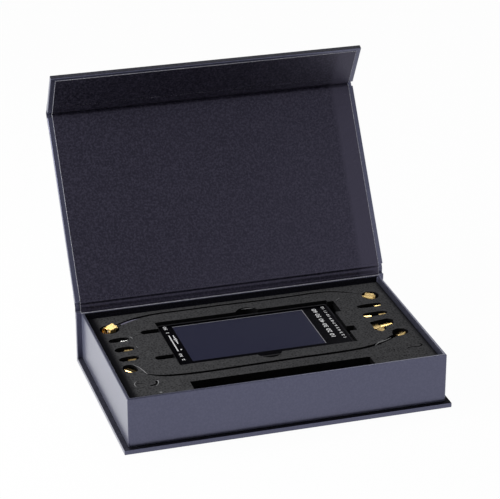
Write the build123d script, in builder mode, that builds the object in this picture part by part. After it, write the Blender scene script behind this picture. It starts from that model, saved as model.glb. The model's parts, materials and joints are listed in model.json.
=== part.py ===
from build123d import *
import os
from math import cos, radians, sin, tan

os.makedirs("parts", exist_ok=True)

# A hand-held antenna analyzer in its hinged presentation box, in millimetres.
# +X runs along the box, +Y points to its spine and +Z up. The origin is on the
# underside of the base board, below the middle of the tray. The lid stands open.

# ---- box of wrapped greyboard
tray_length = 229.0
tray_depth = 138.4
tray_height = 36.6
tray_wall = 2.2
tray_floor = 2.0
board = 3.5  # base, spine, lid and flap
margin = 3.6  # base and lid stand out this far past the tray
lining = 0.3  # paper glued inside the lid and the flap
lining_inset = 5.0
lid_play = 0.6  # closed lid's lining above the tray's rim
flap_play = 0.3  # closed flap's lining in front of the tray
flap_lift = 0.3  # closed flap's edge above the base board
crease_radius = 0.8  # paper bead on each fold
crease_gap = 3.3  # fold line to the board on either side
paper = 0.5  # wrap paper where it bridges a fold
leaf_gap = 0.5
lid_open = 122.9  # degrees from closed
flap_fold = 60.8  # degrees from in line with the lid

# ---- closing magnets
magnet_spacing = 140.0
magnet_drop = 20.0  # below the flap's fold
flap_magnet_radius = 7.5
flap_magnet_height = 2.0
tray_magnet_radius = 6.0
tray_magnet_height = 1.4
magnet_play = 0.1

# ---- foam layers
foam_play = 0.4
foam_base = 5.4
foam_top_height = 10.1
foam_recess = 4.6  # rim of the tray above the foam
cut_play = 0.3  # foam clear of what lies in it
cut_corner = 0.8

# ---- analyzer housing
device_length = 130.0
device_width = 69.0
device_height = 22.0
device_x = 0.0
device_y = 12.75
device_seat = 0.1
device_corner = 2.0
housing_wall = 1.8
housing_floor = 2.4
housing_height = 16.0
frame_rim = 1.5
glass_height = 1.0
glass_play = 0.1
glass_sink = 0.1
glass_corner = 1.0

# ---- display
bezel_left = 11.25  # from the ends and sides of the housing to the window
bezel_right = 20.75
bezel_front = 7.85
bezel_back = 5.55
gasket_height = 0.8
display_border = 2.5  # module's edge past the window
display_height = 3.4
display_play = 0.3

# ---- board, battery and fasteners
pcb_height = 1.6
pcb_play = 1.6  # edge of the board to the housing wall
pcb_lift = 7.0
post_inset_x = 10.0
post_inset_y = 7.0
post_radius = 3.0
post_bore = 1.7
screw_radius = 1.5
screw_length = 13.0
screw_head_radius = 2.8
screw_head_height = 1.3
screw_head_play = 0.2
screw_fit = 0.03
battery_length = 88.0
battery_width = 46.0
battery_height = 5.6
shield_length = 30.0
shield_width = 20.0
shield_height = 3.0
shield_wall = 0.3
shield_play = 1.0  # past the front posts
chip_side = 12.0
chip_height = 1.2
chip_step_x = 24.0  # second chip from the first
chip_step_y = -12.0
flex_width = 20.0
flex_height = 0.3
flex_reach = 8.0
flex_bend = 1.0

# ---- antenna ports
port_1_inset = 12.75  # from the housing's back side
port_2_inset = 14.55  # from its front side
port_height = 11.0  # above the housing's underside
port_reach = 12.4
port_flange = 7.0
port_flange_height = 1.4
port_collar_radius = 3.3  # where the shell passes the housing wall
port_hole_play = 0.1
port_slot_play = 1.0

# ---- controls on the right end
usb_width = 9.0
usb_height = 3.2
usb_depth = 7.4
usb_wall = 0.35
usb_play = 0.3
usb_tongue_width = 5.4
usb_tongue_height = 0.7
key_width = 4.0
key_height = 2.4
key_pitch = 5.6
key_inset = 11.25  # middle key from the housing's back side
key_reach = 1.3
key_travel = 0.6
key_flange = 0.4
key_flange_height = 0.6
key_play = 0.2
key_rest_gap = 0.1  # flange behind the wall
power_radius = 2.2
power_inset = 20.25  # from the housing's front side
control_lift = 2.2  # key centres above the board
switch_width = 4.4
switch_depth = 3.4
switch_height = 3.2
notch_reach = 5.0
key_notch_length = 18.0
power_notch_length = 7.5
power_notch_reach = 6.0

# ---- coaxial connectors
nut_flats = 8.0
nut_sides = 6
nut_length = 8.0
nut_chamfer = 0.35
nut_rear = 1.6  # rear wall that the shoulder holds
nut_bore = 3.25
thread_radius = 3.125
spin_gap = 0.1
neck_radius = 2.45
neck_reach = 2.5  # body seen behind the nut
neck_play = 0.06
shoulder_radius = 3.0
shoulder_height = 1.0
shoulder_gap = 0.2
sleeve_radius = 2.3
sleeve_bore = 2.05
sleeve_reach = 1.8
pin_radius = 0.45
pin_reach = 3.0
jack_bore = 2.3
jack_bore_depth = 6.0
contact_radius = 0.64
contact_bore = 0.48
insert_play = 0.03
insert_length = 0.9
mouth_chamfer = 0.3

# ---- leads
lead_diameter = 2.0
lead_slit_play = 0.3
lead_bed = 0.3
lead_straight = 10.0  # straight run behind each plug
bend_share = 0.45  # of the shorter run that an arc takes

plug_pocket_radius = 6.9
surface_plug_pocket_radius = 7.6
rear_plug_inset = 15.3  # from the tray's ends and its back
rear_plug_depth = 23.0
rear_left_sink = 1.2  # left plug's axis below the foam, so half of it shows
rear_right_sink = 3.5
rear_left_turn = 32.5  # degrees from +X to the lead behind the plug
rear_right_turn = 147.0
rear_left_roll = 18.0  # degrees that a nut is turned from lying on a flat
front_left_roll = 30.0
front_right_roll = 22.0
front_plug_inset = 14.8
front_plug_y = -17.4
front_left_turn = -50.0
front_right_turn = 214.0

# ---- calibration standards, left of the analyzer
standard_inset = 17.6  # middle of each from the tray's left end
standard_y = 11.8
standard_pitch = 15.05
standard_nut_length = 7.0
standard_barrel_radius = 3.0
standard_barrel_length = 6.2
standard_rolls = {"load": 34.0, "short": 27.0, "open": 30.0}

# ---- adapters, right of the analyzer
adapter_length = 18.8
jack_adapter_inset = 21.7  # from the tray's right end
jack_adapter_y = 29.3
plug_adapter_inset = 22.4
plug_adapter_y = 15.0
adapter_nut_length = 6.4
jack_adapter_roll = 30.0
plug_adapter_rolls = {"left": 28.0, "right": 15.0}
adapter_waist = 2.2
elbow_inset = 27.3
elbow_y = 0.4
elbow_turn = 12.0
elbow_jack_length = 13.6
elbow_nut_offset = 7.6
elbow_block = 6.4

# ---- empty places in the foam
bay_length = 130.5
bay_width = 14.3
bay_inset = 14.35  # middle of the bay from the tray's front
finger_radius = 9.4
finger_front_reach = 6.7
finger_back_reach = 5.5
finger_back_shift = 4.0

# ---- levels and places that follow
tray_base = board
rim = tray_base + tray_height
tray_half_y = tray_depth / 2
tray_half_x = tray_length / 2
foam_length = tray_length - 2 * (tray_wall + foam_play)
foam_depth = tray_depth - 2 * (tray_wall + foam_play)
pad_base = tray_base + tray_floor
middle_base = pad_base + foam_base
foam_level = rim - foam_recess
top_base = foam_level - foam_top_height
foam_middle_height = top_base - middle_base

hinge_y = tray_half_y + board - crease_radius
hinge_z = rim + lid_play + lining + board - crease_radius
flap_front = tray_half_y + flap_play + lining + board
lid_span = hinge_y + flap_front - crease_radius
flap_length = hinge_z - tray_base - flap_lift
lid_width = tray_length + 2 * margin
lid_lean = lid_open - 90
board_inner = board - crease_radius

device_base = middle_base + device_seat
device_top = device_base + device_height
frame_base = device_base + housing_height
inner_length = device_length - 2 * housing_wall
inner_width = device_width - 2 * housing_wall
left_end = device_x - device_length / 2
right_end = device_x + device_length / 2
back_side = device_y + device_width / 2
front_side = device_y - device_width / 2
right_inner = right_end - housing_wall
left_inner = left_end + housing_wall
glass_level = device_top - glass_sink - glass_height
window_length = device_length - bezel_left - bezel_right
window_width = device_width - bezel_front - bezel_back
window_x = device_x + (bezel_left - bezel_right) / 2
window_y = device_y + (bezel_front - bezel_back) / 2
gasket_level = glass_level - gasket_height
display_level = gasket_level - display_height
display_length = window_length + 2 * display_border
display_width = window_width + 2 * display_border
pcb_base = device_base + housing_floor + pcb_lift
pcb_level = pcb_base + pcb_height
pcb_length = inner_length - 2 * pcb_play
pcb_width = inner_width - 2 * pcb_play
post_x = inner_length / 2 - post_inset_x
post_y = inner_width / 2 - post_inset_y
port_z = device_base + port_height
port_places = [back_side - port_1_inset, front_side + port_2_inset]
control_z = pcb_level + control_lift
key_y = back_side - key_inset
key_places = [key_y + step * key_pitch for step in (-1, 0, 1)]
power_y = front_side + power_inset

rear_plug_x = tray_half_x - rear_plug_inset
rear_plug_y = tray_half_y - rear_plug_depth
front_plug_x = tray_half_x - front_plug_inset
rear_left_lift = foam_level - rear_left_sink
rear_right_lift = foam_level - rear_right_sink
standard_x = standard_inset - tray_half_x
jack_adapter_x = tray_half_x - jack_adapter_inset
plug_adapter_x = tray_half_x - plug_adapter_inset
elbow_x = tray_half_x - elbow_inset
bay_y = bay_inset - tray_half_y

nut_corner = nut_flats / 2 / cos(radians(180 / nut_sides))
connector_z = top_base + spin_gap + nut_corner
slot_width = 2 * (nut_corner + cut_play)


def leaning_plane(y, z, lean):
    """A plane whose Y runs up a panel that leans back and whose Z points to its inside."""
    return Plane(origin=(0, y, z), x_dir=(1, 0, 0), z_dir=(0, -cos(radians(lean)), sin(radians(lean))))


lid_plane = leaning_plane(hinge_y, hinge_z, lid_lean)
fold = lid_plane.from_local_coords(Vector(0, lid_span, 0))
flap_plane = leaning_plane(fold.Y, fold.Z, lid_lean - flap_fold)


def flat_panel(plane, start, end, width, height):
    """A sheet from start to end along the plane's Y, as thick as height."""
    with BuildPart() as panel:
        with BuildSketch(plane):
            with Locations((0, (start + end) / 2)):
                Rectangle(width, end - start)
        extrude(amount=height)
    return panel


def crease(plane, along, web_start):
    """A paper bead on a fold, with the strip that joins it to the board at web_start."""
    with BuildPart() as bead:
        with BuildSketch(Plane.YZ.offset(-lid_width / 2)):
            with Locations(Plane.YZ.to_local_coords(plane.from_local_coords(Vector(0, along, 0)))):
                Circle(crease_radius)
        extrude(amount=lid_width)
        with BuildSketch(plane.offset(-crease_radius)):
            with Locations((0, (along + web_start) / 2)):
                Rectangle(lid_width, abs(along - web_start))
        extrude(amount=paper)
    return bead


# ==== box
with BuildPart() as base_board:
    with BuildSketch():
        with Locations((0, (board - margin) / 2)):
            Rectangle(lid_width, tray_depth + margin + board)
    extrude(amount=board)
base_board.part.label = "base_board"
export_step(base_board.part, "parts/base_board.step")

magnet_z = hinge_z - magnet_drop
tray_inside = -tray_half_y + tray_wall

with BuildPart() as tray:
    with BuildSketch(Plane.XY.offset(tray_base)):
        Rectangle(tray_length, tray_depth)
    extrude(amount=tray_height)
    with BuildSketch(Plane.XY.offset(pad_base)):
        Rectangle(tray_length - 2 * tray_wall, tray_depth - 2 * tray_wall)
    extrude(amount=tray_height, mode=Mode.SUBTRACT)
    with BuildSketch(Plane.XZ.offset(-tray_inside)):
        with Locations((-magnet_spacing / 2, magnet_z), (magnet_spacing / 2, magnet_z)):
            Circle(tray_magnet_radius + magnet_play)
    extrude(amount=tray_magnet_height + magnet_play, mode=Mode.SUBTRACT)
tray.part.label = "tray"
export_step(tray.part, "parts/tray.step")

with BuildPart() as tray_magnets:
    with BuildSketch(Plane.XZ.offset(-tray_inside)):
        with Locations((-magnet_spacing / 2, magnet_z), (magnet_spacing / 2, magnet_z)):
            Circle(tray_magnet_radius)
    extrude(amount=tray_magnet_height)
tray_magnets.part.label = "tray_magnets"
export_step(tray_magnets.part, "parts/tray_magnets.step")

spine_plane = leaning_plane(hinge_y, hinge_z, 0)
spine_board = flat_panel(
    spine_plane.offset(-crease_radius), tray_base - hinge_z, -crease_gap, lid_width, board
)
spine_board.part.label = "spine_board"
export_step(spine_board.part, "parts/spine_board.step")

spine_crease = crease(spine_plane, 0, -crease_gap)
spine_crease.part.label = "spine_crease"
export_step(spine_crease.part, "parts/spine_crease.step")

# ==== lid
lid_board = flat_panel(
    lid_plane.offset(-crease_radius), crease_gap, lid_span - crease_gap, lid_width, board
)
lid_board.part.label = "lid_board"
export_step(lid_board.part, "parts/lid_board.step")

lid_lining = flat_panel(
    lid_plane.offset(board_inner),
    crease_gap + lining_inset,
    lid_span - crease_gap - lining_inset,
    lid_width - 2 * lining_inset,
    lining,
)
lid_lining.part.label = "lid_lining"
export_step(lid_lining.part, "parts/lid_lining.step")

leaf_start = crease_radius + leaf_gap
lid_hinge_leaf = flat_panel(lid_plane.offset(-crease_radius), leaf_start, crease_gap, lid_width, paper)
lid_hinge_leaf.part.label = "lid_hinge_leaf"
export_step(lid_hinge_leaf.part, "parts/lid_hinge_leaf.step")

flap_crease = crease(lid_plane, lid_span, lid_span - crease_gap)
flap_crease.part.label = "flap_crease"
export_step(flap_crease.part, "parts/flap_crease.step")

# ==== flap
with BuildPart() as flap_board:
    with BuildSketch(flap_plane.offset(-crease_radius)):
        with Locations((0, (crease_gap + flap_length) / 2)):
            Rectangle(lid_width, flap_length - crease_gap)
    extrude(amount=board)
    with BuildSketch(flap_plane.offset(board_inner)):
        with Locations((-magnet_spacing / 2, magnet_drop), (magnet_spacing / 2, magnet_drop)):
            Circle(flap_magnet_radius + magnet_play)
    extrude(amount=-flap_magnet_height - magnet_play, mode=Mode.SUBTRACT)
flap_board.part.label = "flap_board"
export_step(flap_board.part, "parts/flap_board.step")

with BuildPart() as flap_magnets:
    with BuildSketch(flap_plane.offset(board_inner)):
        with Locations((-magnet_spacing / 2, magnet_drop), (magnet_spacing / 2, magnet_drop)):
            Circle(flap_magnet_radius)
    extrude(amount=-flap_magnet_height)
flap_magnets.part.label = "flap_magnets"
export_step(flap_magnets.part, "parts/flap_magnets.step")

flap_lining = flat_panel(
    flap_plane.offset(board_inner),
    crease_gap + lining_inset,
    flap_length - lining_inset,
    lid_width - 2 * lining_inset,
    lining,
)
flap_lining.part.label = "flap_lining"
export_step(flap_lining.part, "parts/flap_lining.step")

flap_hinge_leaf = flat_panel(flap_plane.offset(-crease_radius), leaf_start, crease_gap, lid_width, paper)
flap_hinge_leaf.part.label = "flap_hinge_leaf"
export_step(flap_hinge_leaf.part, "parts/flap_hinge_leaf.step")


# ==== connectors, made along a plane whose Z is the way the mouth points
def axis_plane(x, y, z, turn):
    """The frame of a connector that lies in the foam, its lead leaving towards turn."""
    back = Vector(cos(radians(turn)), sin(radians(turn)), 0)
    return Plane(origin=(x, y, z), x_dir=(0, 0, 1), z_dir=-back)


def turned(plane, profile):
    """A turned piece. Each point of its profile is a radius and a place along the axis."""
    side = Plane(origin=plane.origin, x_dir=plane.x_dir, z_dir=plane.x_dir.cross(plane.z_dir))
    with BuildPart() as piece:
        with BuildSketch(side):
            with BuildLine():
                Polyline(*profile, close=True)
            make_face()
        revolve(axis=Axis(plane.origin, plane.z_dir))
    return piece


def coupling_nut(plane, length, roll=0.0):
    """A hexagon that turns on the neck of a plug, held by the shoulder inside it."""
    along = Axis(plane.origin, plane.z_dir)
    with BuildPart() as nut:
        with BuildSketch(plane.offset(-length / 2)):
            RegularPolygon(
                nut_flats / 2, nut_sides, major_radius=False, rotation=180 / nut_sides + roll
            )
        extrude(amount=length)
        ends = nut.faces().sort_by(along)
        chamfer(ends[0].edges() + ends[-1].edges(), nut_chamfer)
        with BuildSketch(plane.offset(-length / 2)):
            Circle(neck_radius + neck_play)
        extrude(amount=length, mode=Mode.SUBTRACT)
        with BuildSketch(plane.offset(nut_rear - length / 2)):
            Circle(nut_bore)
        extrude(amount=length, mode=Mode.SUBTRACT)
    return nut


def plug_front(length):
    """Profile of a plug from the neck in its nut to the mouth of its sleeve."""
    rear = nut_rear - length / 2 + shoulder_gap
    front = rear + shoulder_height
    return [
        (neck_radius, rear),
        (shoulder_radius, rear),
        (shoulder_radius, front),
        (sleeve_radius, front),
        (sleeve_radius, front + sleeve_reach),
        (sleeve_bore, front + sleeve_reach),
        (sleeve_bore, front),
    ]


def plug_pin(length):
    """Profile of a plug's sleeve floor with its contact pin."""
    front = nut_rear - length / 2 + shoulder_gap + shoulder_height
    return [(pin_radius, front), (pin_radius, front + pin_reach), (0, front + pin_reach)]


def jack_front(start, end):
    """Profile of a jack's threaded barrel from start to its mouth at end, with its bore."""
    return [
        (thread_radius, start),
        (thread_radius, end - mouth_chamfer),
        (thread_radius - mouth_chamfer, end),
        (jack_bore, end),
        (jack_bore, end - jack_bore_depth),
    ]


def insulator(plane, outer, inner, start, end):
    """A ring of white plastic round a contact."""
    return turned(plane, [(inner, start), (outer, start), (outer, end), (inner, end)])


# ==== leads
def along_turn(point, turn, distance):
    """A point in the plane, some way off another."""
    return (point[0] + distance * cos(radians(turn)), point[1] + distance * sin(radians(turn)))


plug_rear = nut_length / 2 + neck_reach
rear_left = along_turn((-rear_plug_x, rear_plug_y), rear_left_turn, plug_rear)
rear_right = along_turn((rear_plug_x, rear_plug_y), rear_right_turn, plug_rear)
front_left = along_turn((-front_plug_x, front_plug_y), front_left_turn, plug_rear)
front_right = along_turn((front_plug_x, front_plug_y), front_right_turn, plug_rear)

# Each point is x, y and height, the first and last ones set off from the plugs.
# The rear lead starts near the surface and dips.
rear_route = [
    (*rear_left, rear_left_lift),
    (*along_turn(rear_left, rear_left_turn, lead_straight), rear_left_lift),
    (26.2 - rear_plug_x, rear_plug_y + 13.6, rear_right_lift + 1.6),
    (40.2 - rear_plug_x, rear_plug_y + 15.6, rear_right_lift + 0.5),
    (-38.0, rear_plug_y + 15.1, rear_right_lift),
    (-12.0, rear_plug_y + 15.7, rear_right_lift),
    (18.0, rear_plug_y + 14.7, rear_right_lift),
    (45.0, rear_plug_y + 14.9, rear_right_lift),
    (rear_plug_x - 37.2, rear_plug_y + 16.0, rear_right_lift),
    (rear_plug_x - 24.2, rear_plug_y + 14.2, rear_right_lift),
    (*along_turn(rear_right, rear_right_turn, lead_straight), rear_right_lift),
    (*rear_right, rear_right_lift),
]
front_route = [
    (*front_left, connector_z),
    (*along_turn(front_left, front_left_turn, lead_straight), connector_z),
    (20.2 - front_plug_x, front_plug_y - 17.0, connector_z),
    (34.7 - front_plug_x, front_plug_y - 18.8, connector_z),
    (-44.0, front_plug_y - 19.2, connector_z),
    (-14.0, front_plug_y - 18.2, connector_z),
    (16.0, front_plug_y - 17.6, connector_z),
    (43.0, front_plug_y - 17.9, connector_z),
    (front_plug_x - 36.7, front_plug_y - 17.0, connector_z),
    (front_plug_x - 23.7, front_plug_y - 14.2, connector_z),
    (*along_turn(front_right, front_right_turn, lead_straight), connector_z),
    (*front_right, connector_z),
]


def bend_radii(route):
    """The radius of each arc, from its shorter run and the tangent of half its turn."""
    points = [Vector(*point) for point in route]
    radii = []
    for before, corner, after in zip(points, points[1:], points[2:]):
        shorter = min((corner - before).length, (after - corner).length)
        turn = (corner - before).get_angle(after - corner)
        radii.append(bend_share * shorter / tan(radians(turn / 2)))
    return radii


def lead(route):
    """A round cable of straight runs and tangent arcs from plug to plug."""
    first = Vector(*route[1]) - Vector(*route[0])
    with BuildPart() as cable:
        with BuildLine():
            FilletPolyline(*route, radius=bend_radii(route))
        with BuildSketch(Plane(origin=route[0], z_dir=first)):
            Circle(lead_diameter / 2)
        sweep()
    return cable


def lead_plugs(places):
    """The metal bodies of a lead's two plugs."""
    rear = -nut_length / 2 - neck_reach
    floor = nut_rear - nut_length / 2 + shoulder_gap + shoulder_height
    with BuildPart() as bodies:
        for place in places:
            add(turned(place, [(0, rear), (neck_radius, rear), *plug_front(nut_length), (0, floor)]).part)
    return bodies


def lead_inserts(places):
    """The insulators and contact pins in a lead's two plugs."""
    floor = nut_rear - nut_length / 2 + shoulder_gap + shoulder_height
    with BuildPart() as inserts:
        for place in places:
            add(turned(place, [(0, floor), *plug_pin(nut_length)]).part)
            add(
                insulator(
                    place,
                    sleeve_bore - insert_play,
                    pin_radius + insert_play,
                    floor,
                    floor + insert_length,
                ).part
            )
    return inserts


rear_places = [
    axis_plane(-rear_plug_x, rear_plug_y, rear_left_lift, rear_left_turn),
    axis_plane(rear_plug_x, rear_plug_y, rear_right_lift, rear_right_turn),
]
front_places = [
    axis_plane(-front_plug_x, front_plug_y, connector_z, front_left_turn),
    axis_plane(front_plug_x, front_plug_y, connector_z, front_right_turn),
]
lead_routes = {"rear": rear_route, "front": front_route}
lead_places = {"rear": rear_places, "front": front_places}
lead_rolls = {"rear": [rear_left_roll, 0.0], "front": [front_left_roll, front_right_roll]}
for name, route in lead_routes.items():
    places = lead_places[name]
    print(name, "lead radii", [round(radius, 1) for radius in bend_radii(route)])

    cable = lead(route)
    cable.part.label = f"{name}_lead"
    export_step(cable.part, f"parts/{name}_lead.step")

    bodies = lead_plugs(places)
    bodies.part.label = f"{name}_lead_plugs"
    export_step(bodies.part, f"parts/{name}_lead_plugs.step")

    inserts = lead_inserts(places)
    inserts.part.label = f"{name}_lead_inserts"
    export_step(inserts.part, f"parts/{name}_lead_inserts.step")

    for side, place, roll in zip(["left", "right"], places, lead_rolls[name]):
        nut = coupling_nut(place, nut_length, roll)
        nut.part.label = f"{name}_lead_nut_{side}"
        export_step(nut.part, f"parts/{name}_lead_nut_{side}.step")


# ==== calibration standards, mouths to the right
standard_length = standard_nut_length + standard_barrel_length
standard_nut_x = standard_x + standard_length / 2 - standard_nut_length / 2
for step, name in enumerate(standard_rolls):
    place = axis_plane(standard_nut_x, standard_y + (step - 1) * standard_pitch, connector_z, 180)
    rear = -standard_nut_length / 2
    barrel = [
        (0, rear - standard_barrel_length),
        (standard_barrel_radius - mouth_chamfer, rear - standard_barrel_length),
        (standard_barrel_radius, rear - standard_barrel_length + mouth_chamfer),
        (standard_barrel_radius, rear - shoulder_gap),
        (neck_radius, rear - shoulder_gap),
    ]
    body = turned(place, [*barrel, *plug_front(standard_nut_length), *plug_pin(standard_nut_length)])
    body.part.label = f"{name}_standard"
    export_step(body.part, f"parts/{name}_standard.step")

    nut = coupling_nut(place, standard_nut_length, standard_rolls[name])
    nut.part.label = f"{name}_standard_nut"
    export_step(nut.part, f"parts/{name}_standard_nut.step")


# ==== adapters
def mirrored(profile):
    """The same profile at the other end of the axis."""
    return [(radius, -place) for radius, place in reversed(profile)]


adapter_nut_x = adapter_length / 2 - adapter_nut_length / 2
nut_inner = adapter_length / 2 - adapter_nut_length

jack_place = axis_plane(jack_adapter_x, jack_adapter_y, connector_z, 180)
plug_end = [(radius, place + adapter_nut_x) for radius, place in plug_front(adapter_nut_length)]
pin_end = [(radius, place + adapter_nut_x) for radius, place in plug_pin(adapter_nut_length)]
jack_end = mirrored(jack_front(-nut_inner + adapter_waist, adapter_length / 2))
jack_floor = jack_bore_depth - adapter_length / 2
jack_adapter = turned(
    jack_place,
    [
        (0, jack_floor),
        *jack_end,
        (standard_barrel_radius, nut_inner - adapter_waist),
        (standard_barrel_radius, nut_inner - shoulder_gap),
        (neck_radius, nut_inner - shoulder_gap),
        *plug_end,
        *pin_end,
    ],
)
jack_adapter.part.label = "jack_adapter"
export_step(jack_adapter.part, "parts/jack_adapter.step")

jack_adapter_nut = coupling_nut(
    jack_place.offset(adapter_nut_x), adapter_nut_length, jack_adapter_roll
)
jack_adapter_nut.part.label = "jack_adapter_nut"
export_step(jack_adapter_nut.part, "parts/jack_adapter_nut.step")

plug_place = axis_plane(plug_adapter_x, plug_adapter_y, connector_z, 180)
waist = [
    (neck_radius, shoulder_gap - nut_inner),
    (standard_barrel_radius, shoulder_gap - nut_inner),
    (standard_barrel_radius, nut_inner - shoulder_gap),
    (neck_radius, nut_inner - shoulder_gap),
]
plug_adapter = turned(
    plug_place, [*mirrored(pin_end), *mirrored(plug_end), *waist, *plug_end, *pin_end]
)
plug_adapter.part.label = "plug_adapter"
export_step(plug_adapter.part, "parts/plug_adapter.step")

for side, turn, way in (("left", 0, -1), ("right", 180, 1)):
    place = axis_plane(plug_adapter_x + way * adapter_nut_x, plug_adapter_y, connector_z, turn)
    nut = coupling_nut(place, adapter_nut_length, plug_adapter_rolls[side])
    nut.part.label = f"plug_adapter_nut_{side}"
    export_step(nut.part, f"parts/plug_adapter_nut_{side}.step")

elbow_jack = axis_plane(elbow_x, elbow_y, connector_z, 180 + elbow_turn)
elbow_plug = axis_plane(elbow_x, elbow_y, connector_z, 90 + elbow_turn)
elbow_neck = elbow_nut_offset - adapter_nut_length / 2 - shoulder_gap
elbow_front = [(radius, place + elbow_nut_offset) for radius, place in plug_front(adapter_nut_length)]
elbow_pin = [(radius, place + elbow_nut_offset) for radius, place in plug_pin(adapter_nut_length)]
with BuildPart() as elbow_adapter:
    with BuildSketch(Plane(origin=elbow_jack.origin, x_dir=elbow_jack.z_dir).offset(-elbow_block / 2)):
        Rectangle(elbow_block, elbow_block)
    extrude(amount=elbow_block)
    add(
        turned(
            elbow_jack,
            [(0, 0), (thread_radius, 0), *jack_front(0, elbow_jack_length)[1:],
             (0, elbow_jack_length - jack_bore_depth)],
        ).part
    )
    add(
        turned(
            elbow_plug,
            [(0, 0), (neck_radius, 0), (neck_radius, elbow_neck), *elbow_front, *elbow_pin],
        ).part
    )
elbow_adapter.part.label = "elbow_adapter"
export_step(elbow_adapter.part, "parts/elbow_adapter.step")

elbow_nut = coupling_nut(elbow_plug.offset(elbow_nut_offset), adapter_nut_length)
elbow_nut.part.label = "elbow_adapter_nut"
export_step(elbow_nut.part, "parts/elbow_adapter_nut.step")


# ==== foam
def device_outline():
    """The analyzer's own place, with the notches for its controls and for fingers."""
    with Locations((device_x, device_y)):
        Rectangle(device_length + 2 * cut_play, device_width + 2 * cut_play)
    with Locations((right_end, key_y)):
        RectangleRounded(2 * notch_reach, key_notch_length, cut_corner)
    with Locations((right_end, power_y)):
        RectangleRounded(2 * power_notch_reach, power_notch_length, cut_corner)
    front_edge = front_side - cut_play
    back_edge = back_side + cut_play
    with Locations((device_x, front_edge + finger_radius - finger_front_reach)):
        Circle(finger_radius)
    with Locations((device_x + finger_back_shift, back_edge - finger_radius + finger_back_reach)):
        Circle(finger_radius)


def port_outline():
    """The slots that the two ports drop into."""
    for place in port_places:
        with Locations((left_end - port_reach / 2, place)):
            RectangleRounded(
                port_reach + 2 * port_slot_play, 2 * (thread_radius + port_slot_play), cut_corner
            )


def bay_outline():
    """The long bay along the front for the charging lead."""
    with Locations((0, bay_y)):
        RectangleRounded(bay_length, bay_width, cut_corner)


def slot_outline():
    """The slots of the standards and of the two straight adapters."""
    for step in range(len(standard_rolls)):
        with Locations((standard_x, standard_y + (step - 1) * standard_pitch)):
            RectangleRounded(standard_length + 2 * cut_play, slot_width, cut_corner)
    with Locations((jack_adapter_x, jack_adapter_y), (plug_adapter_x, plug_adapter_y)):
        RectangleRounded(adapter_length + 2 * cut_play, slot_width, cut_corner)


def elbow_outline():
    """The bent hole of the elbow adapter."""
    jack_end_play = elbow_jack_length + elbow_block / 2 + 2 * cut_play
    plug_end_play = elbow_nut_offset + adapter_nut_length / 2 + elbow_block / 2 + 2 * cut_play
    jack_middle = along_turn((elbow_x, elbow_y), elbow_turn, (elbow_jack_length - elbow_block / 2) / 2)
    plug_reach = (elbow_nut_offset + adapter_nut_length / 2 - elbow_block / 2) / 2
    plug_middle = along_turn((elbow_x, elbow_y), elbow_turn - 90, plug_reach)
    with Locations(Location((*jack_middle, 0), (0, 0, elbow_turn))):
        RectangleRounded(jack_end_play, elbow_block + 2 * cut_play, cut_corner)
    with Locations(Location((*plug_middle, 0), (0, 0, elbow_turn))):
        RectangleRounded(slot_width, plug_end_play, cut_corner)


def lead_cut(route, places, radii, floor):
    """Round pockets for the two plugs and the slit between them, from floor up."""
    flat_route = [(x, y) for x, y, z in route]
    with BuildSketch(Plane.XY.offset(floor)) as cut:
        with BuildLine():
            FilletPolyline(*flat_route, radius=bend_radii([(x, y, 0) for x, y in flat_route]))
        trace(line_width=lead_diameter + 2 * lead_slit_play)
        for place, radius, end in zip(places, radii, (flat_route[0], flat_route[-1])):
            with Locations((place.origin.X, place.origin.Y)):
                Circle(radius)
            turn = Vector(1, 0, 0).get_signed_angle(-place.z_dir, Vector(0, 0, 1))
            with Locations(Location((*end, 0), (0, 0, turn))):
                Rectangle(2 * neck_reach + 2 * cut_play, 2 * (neck_radius + cut_play))
    return cut


with BuildPart() as foam_base_pad:
    with BuildSketch(Plane.XY.offset(pad_base)):
        Rectangle(foam_length, foam_depth)
    extrude(amount=foam_base)
foam_base_pad.part.label = "foam_base_pad"
export_step(foam_base_pad.part, "parts/foam_base_pad.step")

with BuildPart() as foam_middle:
    with BuildSketch(Plane.XY.offset(middle_base)):
        Rectangle(foam_length, foam_depth)
        with BuildSketch(Plane.XY, mode=Mode.PRIVATE) as holes:
            device_outline()
            bay_outline()
        add(holes.sketch, mode=Mode.SUBTRACT)
    extrude(amount=foam_middle_height)
    with BuildSketch(Plane.XY.offset(port_z - thread_radius - port_slot_play)):
        port_outline()
    extrude(amount=foam_middle_height, mode=Mode.SUBTRACT)
foam_middle.part.label = "foam_middle"
export_step(foam_middle.part, "parts/foam_middle.step")

surface_floor = rear_left_lift - nut_corner - spin_gap
rear_floor = rear_right_lift - nut_corner - spin_gap
rear_slit_floor = rear_right_lift - lead_diameter / 2 - lead_bed
front_slit_floor = connector_z - lead_diameter / 2 - lead_bed

rear_cut = lead_cut(
    rear_route, rear_places, [surface_plug_pocket_radius, plug_pocket_radius], rear_slit_floor
)
front_cut = lead_cut(
    front_route, front_places, [plug_pocket_radius, plug_pocket_radius], front_slit_floor
)

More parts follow.
